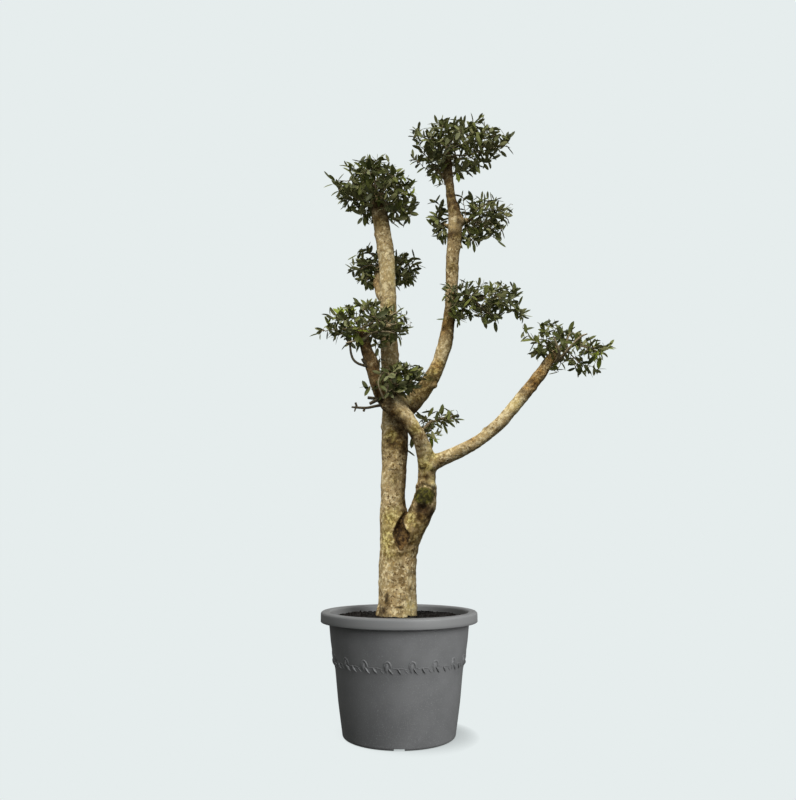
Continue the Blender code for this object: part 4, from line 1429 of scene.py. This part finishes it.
def olive_finish():
    """Smooth dark skin with a dull bloom."""
    finish, tree, place = started_finish("ripe_olive", 0.45)
    bloom = grain(tree, place, 0.006, detail=2.0)
    coated(tree, mixed(tree, stepped(tree, bloom, 0.40, 0.60), tone(50, 52, 58), tone(78, 82, 92)))
    return finish


fruit = bmesh.new()
for olive in OLIVES:
    stretch = Matrix.Diagonal((1.0, 1.0, OLIVE_HALF_LENGTH / OLIVE_RADIUS, 1.0))
    place = Matrix.Translation(olive) @ stretch
    bmesh.ops.create_uvsphere(fruit, u_segments=20, v_segments=12, radius=OLIVE_RADIUS, matrix=place)
    swept(fruit, [Vector(olive) + Vector(bend) for bend in STALK], STALK_RADII, 6)
in_order(fruit)
olives = new_piece("olives", fruit, olive_finish())
smoothed(olives, 50.0)
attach(olives, "root")


# ---------------------------------------------------------------- studio
# A pale seamless room: a floor that runs to the horizon, an even pale surround, a broad soft
# light high on the left with a faint fill on the leaves, and one on the right for the pot.

BACKDROP = tone(230, 237, 237)
FLOOR_REACH = 120.0
FLOOR_SHADE = tone(136, 142, 142)
FLOOR_DROP = 0.0005  # keeps the floor clear of the pot's foot
GLOW_BELOW = (0.10, 0.10, 0.09, 1.0)
GLOW_LEVEL = (0.28, 0.29, 0.29, 1.0)
GLOW_ABOVE = (0.95, 0.95, 0.93, 1.0)
LENS_LENGTH = 33.0
LENS_TILT = 10.6


def floor_finish():
    """Pale paper that glows evenly, with a painted shadow only close beside the pot's foot, as from the
    left.
    """
    finish = bpy.data.materials.new("pale_floor")
    finish.use_nodes = True
    tree = finish.node_tree
    tree.nodes.clear()
    # The painted shadow: darker where the pot is near, looking leftwards and a little to the front.
    lean = add_node(tree, "ShaderNodeCombineXYZ", {0: -0.90, 1: -0.52, 2: 0.25}).outputs[0]
    near = {"Distance": 0.090, "Normal": lean}
    shade = add_node(tree, "ShaderNodeAmbientOcclusion", near, samples=16)
    colour = mixed(tree, shade.outputs["AO"], FLOOR_SHADE, BACKDROP)
    glow = add_node(tree, "ShaderNodeEmission", {"Color": colour, "Strength": 1.0})
    add_node(tree, "ShaderNodeOutputMaterial", {"Surface": glow.outputs[0]})
    return finish


floor_shape = bmesh.new()
bmesh.ops.create_circle(floor_shape, cap_ends=True, segments=64, radius=FLOOR_REACH)
floor = new_piece("floor", floor_shape, floor_finish())
floor.location.z = -FLOOR_DROP
floor.visible_diffuse = False
floor.visible_glossy = False
floor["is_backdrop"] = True

surround = bpy.data.worlds.new("surround")
surround.use_nodes = True
air = surround.node_tree
air.nodes.clear()
looking = add_node(air, "ShaderNodeTexCoord").outputs["Generated"]
upward = add_node(air, "ShaderNodeSeparateXYZ", {0: looking}).outputs["Z"]
lower = mixed(air, stepped(air, upward, -0.25, 0.15), GLOW_BELOW, GLOW_LEVEL)
upper = mixed(air, stepped(air, upward, 0.2, 0.9), lower, GLOW_ABOVE)
unlit = add_node(air, "ShaderNodeBackground", {"Color": upper, "Strength": 0.9})
seen = add_node(air, "ShaderNodeBackground", {"Color": BACKDROP, "Strength": 1.0})
ray = add_node(air, "ShaderNodeLightPath").outputs["Is Camera Ray"]
chosen = add_node(air, "ShaderNodeMixShader", {0: ray, 1: unlit.outputs[0], 2: seen.outputs[0]})
add_node(air, "ShaderNodeOutputWorld", {"Surface": chosen.outputs[0]})
bpy.context.scene.world = surround


def soft_sun(name, strength, angle, colour, way, pieces):
    """A broad distant light that shines the given way on these pieces only."""
    data = bpy.data.lights.new(name, "SUN")
    data.energy = strength
    data.angle = math.radians(angle)
    data.color = colour
    light = bpy.data.objects.new(name, data)
    light.rotation_euler = Vector(way).to_track_quat("-Z", "Y").to_euler()
    bpy.context.scene.collection.objects.link(light)
    group = bpy.data.collections.new(name + "_falls_on")
    for piece in pieces:
        group.objects.link(piece)
    light.light_linking.receiver_collection = group


pot_pieces = [pot, garland]
tree_pieces = [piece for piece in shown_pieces() if piece not in pot_pieces]
soft_sun("tree_light", 2.7, 30.0, (1.0, 0.96, 0.88), (0.30, 0.85, -1.05), tree_pieces)
leafy_pieces = [piece for piece in tree_pieces if piece.name.startswith(("leaves_", "twigs_"))]
soft_sun("leaf_fill", 0.32, 120.0, (0.96, 1.0, 0.94), (0.10, 0.90, 0.30), leafy_pieces)
soft_sun("pot_light", 3.2, 40.0, (1.0, 1.0, 1.0), (-0.78, 0.92, -0.50), pot_pieces)

lens = bpy.data.cameras.new("camera")
lens.lens = LENS_LENGTH
lens.clip_end = 3.0 * FLOOR_REACH
camera = bpy.data.objects.new("camera", lens)
camera.location = FRONT_EYE
camera.rotation_euler = (math.radians(90.0 + LENS_TILT), 0.0, 0.0)
bpy.context.scene.collection.objects.link(camera)
bpy.context.scene.camera = camera
bpy.context.scene.view_settings.view_transform = "Standard"
